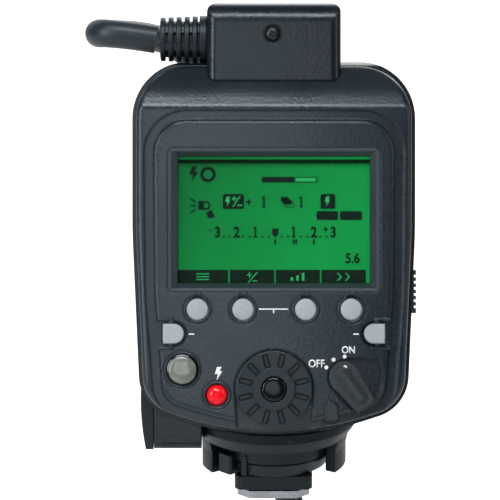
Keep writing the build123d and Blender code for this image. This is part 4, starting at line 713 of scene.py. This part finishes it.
print_shapes = [
    panel_box(259, 308.6, 288, 309.7), panel_box(273.1, 308.6, 274.2, 313.4),
    panel_box(188.8, 333.6, 194.2, 334.8), panel_box(353.4, 333.6, 358.8, 334.8),
    [on_panel(px, py) for px, py in bolt_points(213.6, 367.0, 13.5)],
    disc_shape(17.8, 34.55, 0.5), disc_shape(15.0, 33.75, 0.5), disc_shape(13.2, 31.8, 0.5),
]
panel_print = outline_piece("panel_print", print_shapes, PANEL, PRINT, print_white)
join_into(panel_print, [
    number_mesh("ON", 341.8, 346.2, 355.0, 353.6, PANEL, on_panel, PRINT, 0.02),
    number_mesh("OFF", 308.4, 359.6, 325.0, 367.6, PANEL, on_panel, PRINT, 0.02),
])


# Low lips along the inner side of the rims of the wells
def lip(points, base, crest_at, far, height, w=PANEL, closed=True):
    """Rows of places of a low ridge along an outline.

    The widths are measured to the right of the way along it, so inwards on an outline that runs clockwise.
    """
    count = len(points)
    rows = []
    for index, (x, v) in enumerate(points):
        before = points[index - 1] if closed or index else points[index]
        after = points[(index + 1) % count] if closed or index < count - 1 else points[index]
        along = Vector((after[0] - before[0], after[1] - before[1])).normalized()
        across = Vector((along.y, -along.x))
        rows.append([
            place(x + across.x * base, w + 0.3, v + across.y * base),
            place(x + across.x * base, w - 0.02, v + across.y * base),
            place(x + across.x * crest_at, w - height, v + across.y * crest_at),
            place(x + across.x * far, w + 0.02, v + across.y * far),
            place(x + across.x * far, w + 0.3, v + across.y * far),
        ])
    return rows


def ridge_piece(name, ridges, look):
    """One piece of several ridges, each given as rows of places and whether it closes on itself."""
    mesh = bmesh.new()
    for rows, closed in ridges:
        verts = [[mesh.verts.new(point) for point in row] for row in rows]
        last = len(verts) if closed else len(verts) - 1
        for index in range(last):
            one = verts[index]
            two = verts[(index + 1) % len(verts)]
            for step in range(len(one) - 1):
                mesh.faces.new((one[step], one[step + 1], two[step + 1], two[step]))
    bmesh.ops.recalc_face_normals(mesh, faces=mesh.faces)
    data = bpy.data.meshes.new(name)
    mesh.to_mesh(data)
    mesh.free()
    data.materials.append(look)
    for face in data.polygons:
        face.use_smooth = True
    made = bpy.data.objects.new(name, data)
    bpy.context.scene.collection.objects.link(made)
    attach(made, "unit")
    return made


def arc_points(x, v, radius, start, end, count):
    """Places along an arc, clockwise, so that outwards is away from its centre."""
    turns = [math.radians(start + (end - start) * index / (count - 1)) for index in range(count)]
    return [(x + radius * math.cos(turn), v + radius * math.sin(turn)) for turn in turns]


FUNCTION_ROW = 46.4
ridges = []
for column in (-19.3, -7.8, 8.0, 19.5):
    well = arc_points(column, FUNCTION_ROW, 3.6, 65, -245, 48)
    ridges.append((lip(well, 0.0, 0.5, 0.95, 0.2, closed=False), False))
    for side in (-1, 1):
        edge = [(column + side * 1.52, 49.66), (column + side * 1.0, 50.1), (column + side * 0.75, 50.75)]
        ridges.append((lip(edge, -0.12, 0.1, 0.32, 0.15, closed=False), False))
for x, v, radius, count in ((-23.1, 31.2, 4.75, 64), (-14.4, 24.8, 3.65, 48)):
    ridges.append((lip(arc_points(x, v, radius, 90, -270, count)[:-1], 0.0, 0.4, 0.8, 0.2), True))
for side, start in ((-1, 270), (1, 90)):
    ends = arc_points(side * 25.2, 40.3, 3.3, start, start - 180, 24)
    outline = [(side * 29.2, ends[0][1])] + ends + [(side * 29.2, ends[-1][1])]
    ridges.append((lip(outline, 0.0, 0.4, 0.8, 0.18, closed=False), False))
lamp_arch = [(12.7, 18.6)] + arc_points(14.5, 21.5, 1.8, 180, 0, 20) + [(16.3, 18.6)]
ridges.append((lip(lamp_arch, 0.0, 0.45, 0.8, 0.25, closed=False), False))
switch_well = arc_points(17.8, 29.4, 9.75, 28, -72, 44)
ridges.append((lip(switch_well, 0.0, 0.3, 0.55, 0.12, closed=False), False))
ridge_piece("well_lips", ridges, looks["panel"])


def dome_piece(name, x, v, radius, low_w, top_w, look, body, rings=10, count=48):
    """Crowned lens standing out from depth low_w to depth top_w."""
    mesh = bmesh.new()
    rows = []
    for step in range(rings + 1):
        turn = math.radians(90 * step / rings)
        reach = radius * math.cos(turn) ** 0.55 if step < rings else 0
        w = low_w + (top_w - low_w) * math.sin(turn)
        if step == rings:
            rows.append([mesh.verts.new(place(x, w, v))])
        else:
            rows.append([mesh.verts.new(place(a, w, b)) for a, b in disc_shape(x, v, reach, count)])
    for step in range(rings - 1):
        for i in range(count):
            j = (i + 1) % count
            mesh.faces.new((rows[step][i], rows[step][j], rows[step + 1][j], rows[step + 1][i]))
    for i in range(count):
        mesh.faces.new((rows[rings - 1][i], rows[rings - 1][(i + 1) % count], rows[rings][0]))
    bmesh.ops.recalc_face_normals(mesh, faces=mesh.faces)
    data = bpy.data.meshes.new(name)
    mesh.to_mesh(data)
    mesh.free()
    data.materials.append(look)
    for face in data.polygons:
        face.use_smooth = True
    made = bpy.data.objects.new(name, data)
    bpy.context.scene.collection.objects.link(made)
    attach(made, body)
    return made


dome_piece("mode_lens", -23.1, 31.2, 3.55, -34.5, -35.35, looks["lens"], "mode_button")
dome_piece("set_dome", 0.0, 26.3, 3.05, -35.3, -35.85, looks["black"], "set_button")
switch_dot = [disc_shape(17.9, 31.9, 0.5)]
outline_piece("switch_mark", switch_dot, -35.28, 0.04, print_white, "power_switch")

# Dark arrow on the collar, beside the lock ring's window
arrow_mesh = bpy.data.meshes.new("lock_arrow")
arrow_places = ((3.6, 19.6), (5.6, 20.4), (3.6, 21.2))
arrow_corners = []
for reach in (21.86, 21.7):
    for x, z in arrow_places:
        arrow_corners.append((x * MM, -math.sqrt(reach * reach - x * x) * MM, z * MM))
arrow_mesh.from_pydata(arrow_corners, [], [(0, 1, 2), (5, 4, 3), (0, 3, 4, 1), (1, 4, 5, 2), (2, 5, 3, 0)])
arrow_mesh.materials.append(looks["black"])
arrow = bpy.data.objects.new("lock_arrow", arrow_mesh)
bpy.context.scene.collection.objects.link(arrow)
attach(arrow, "unit")
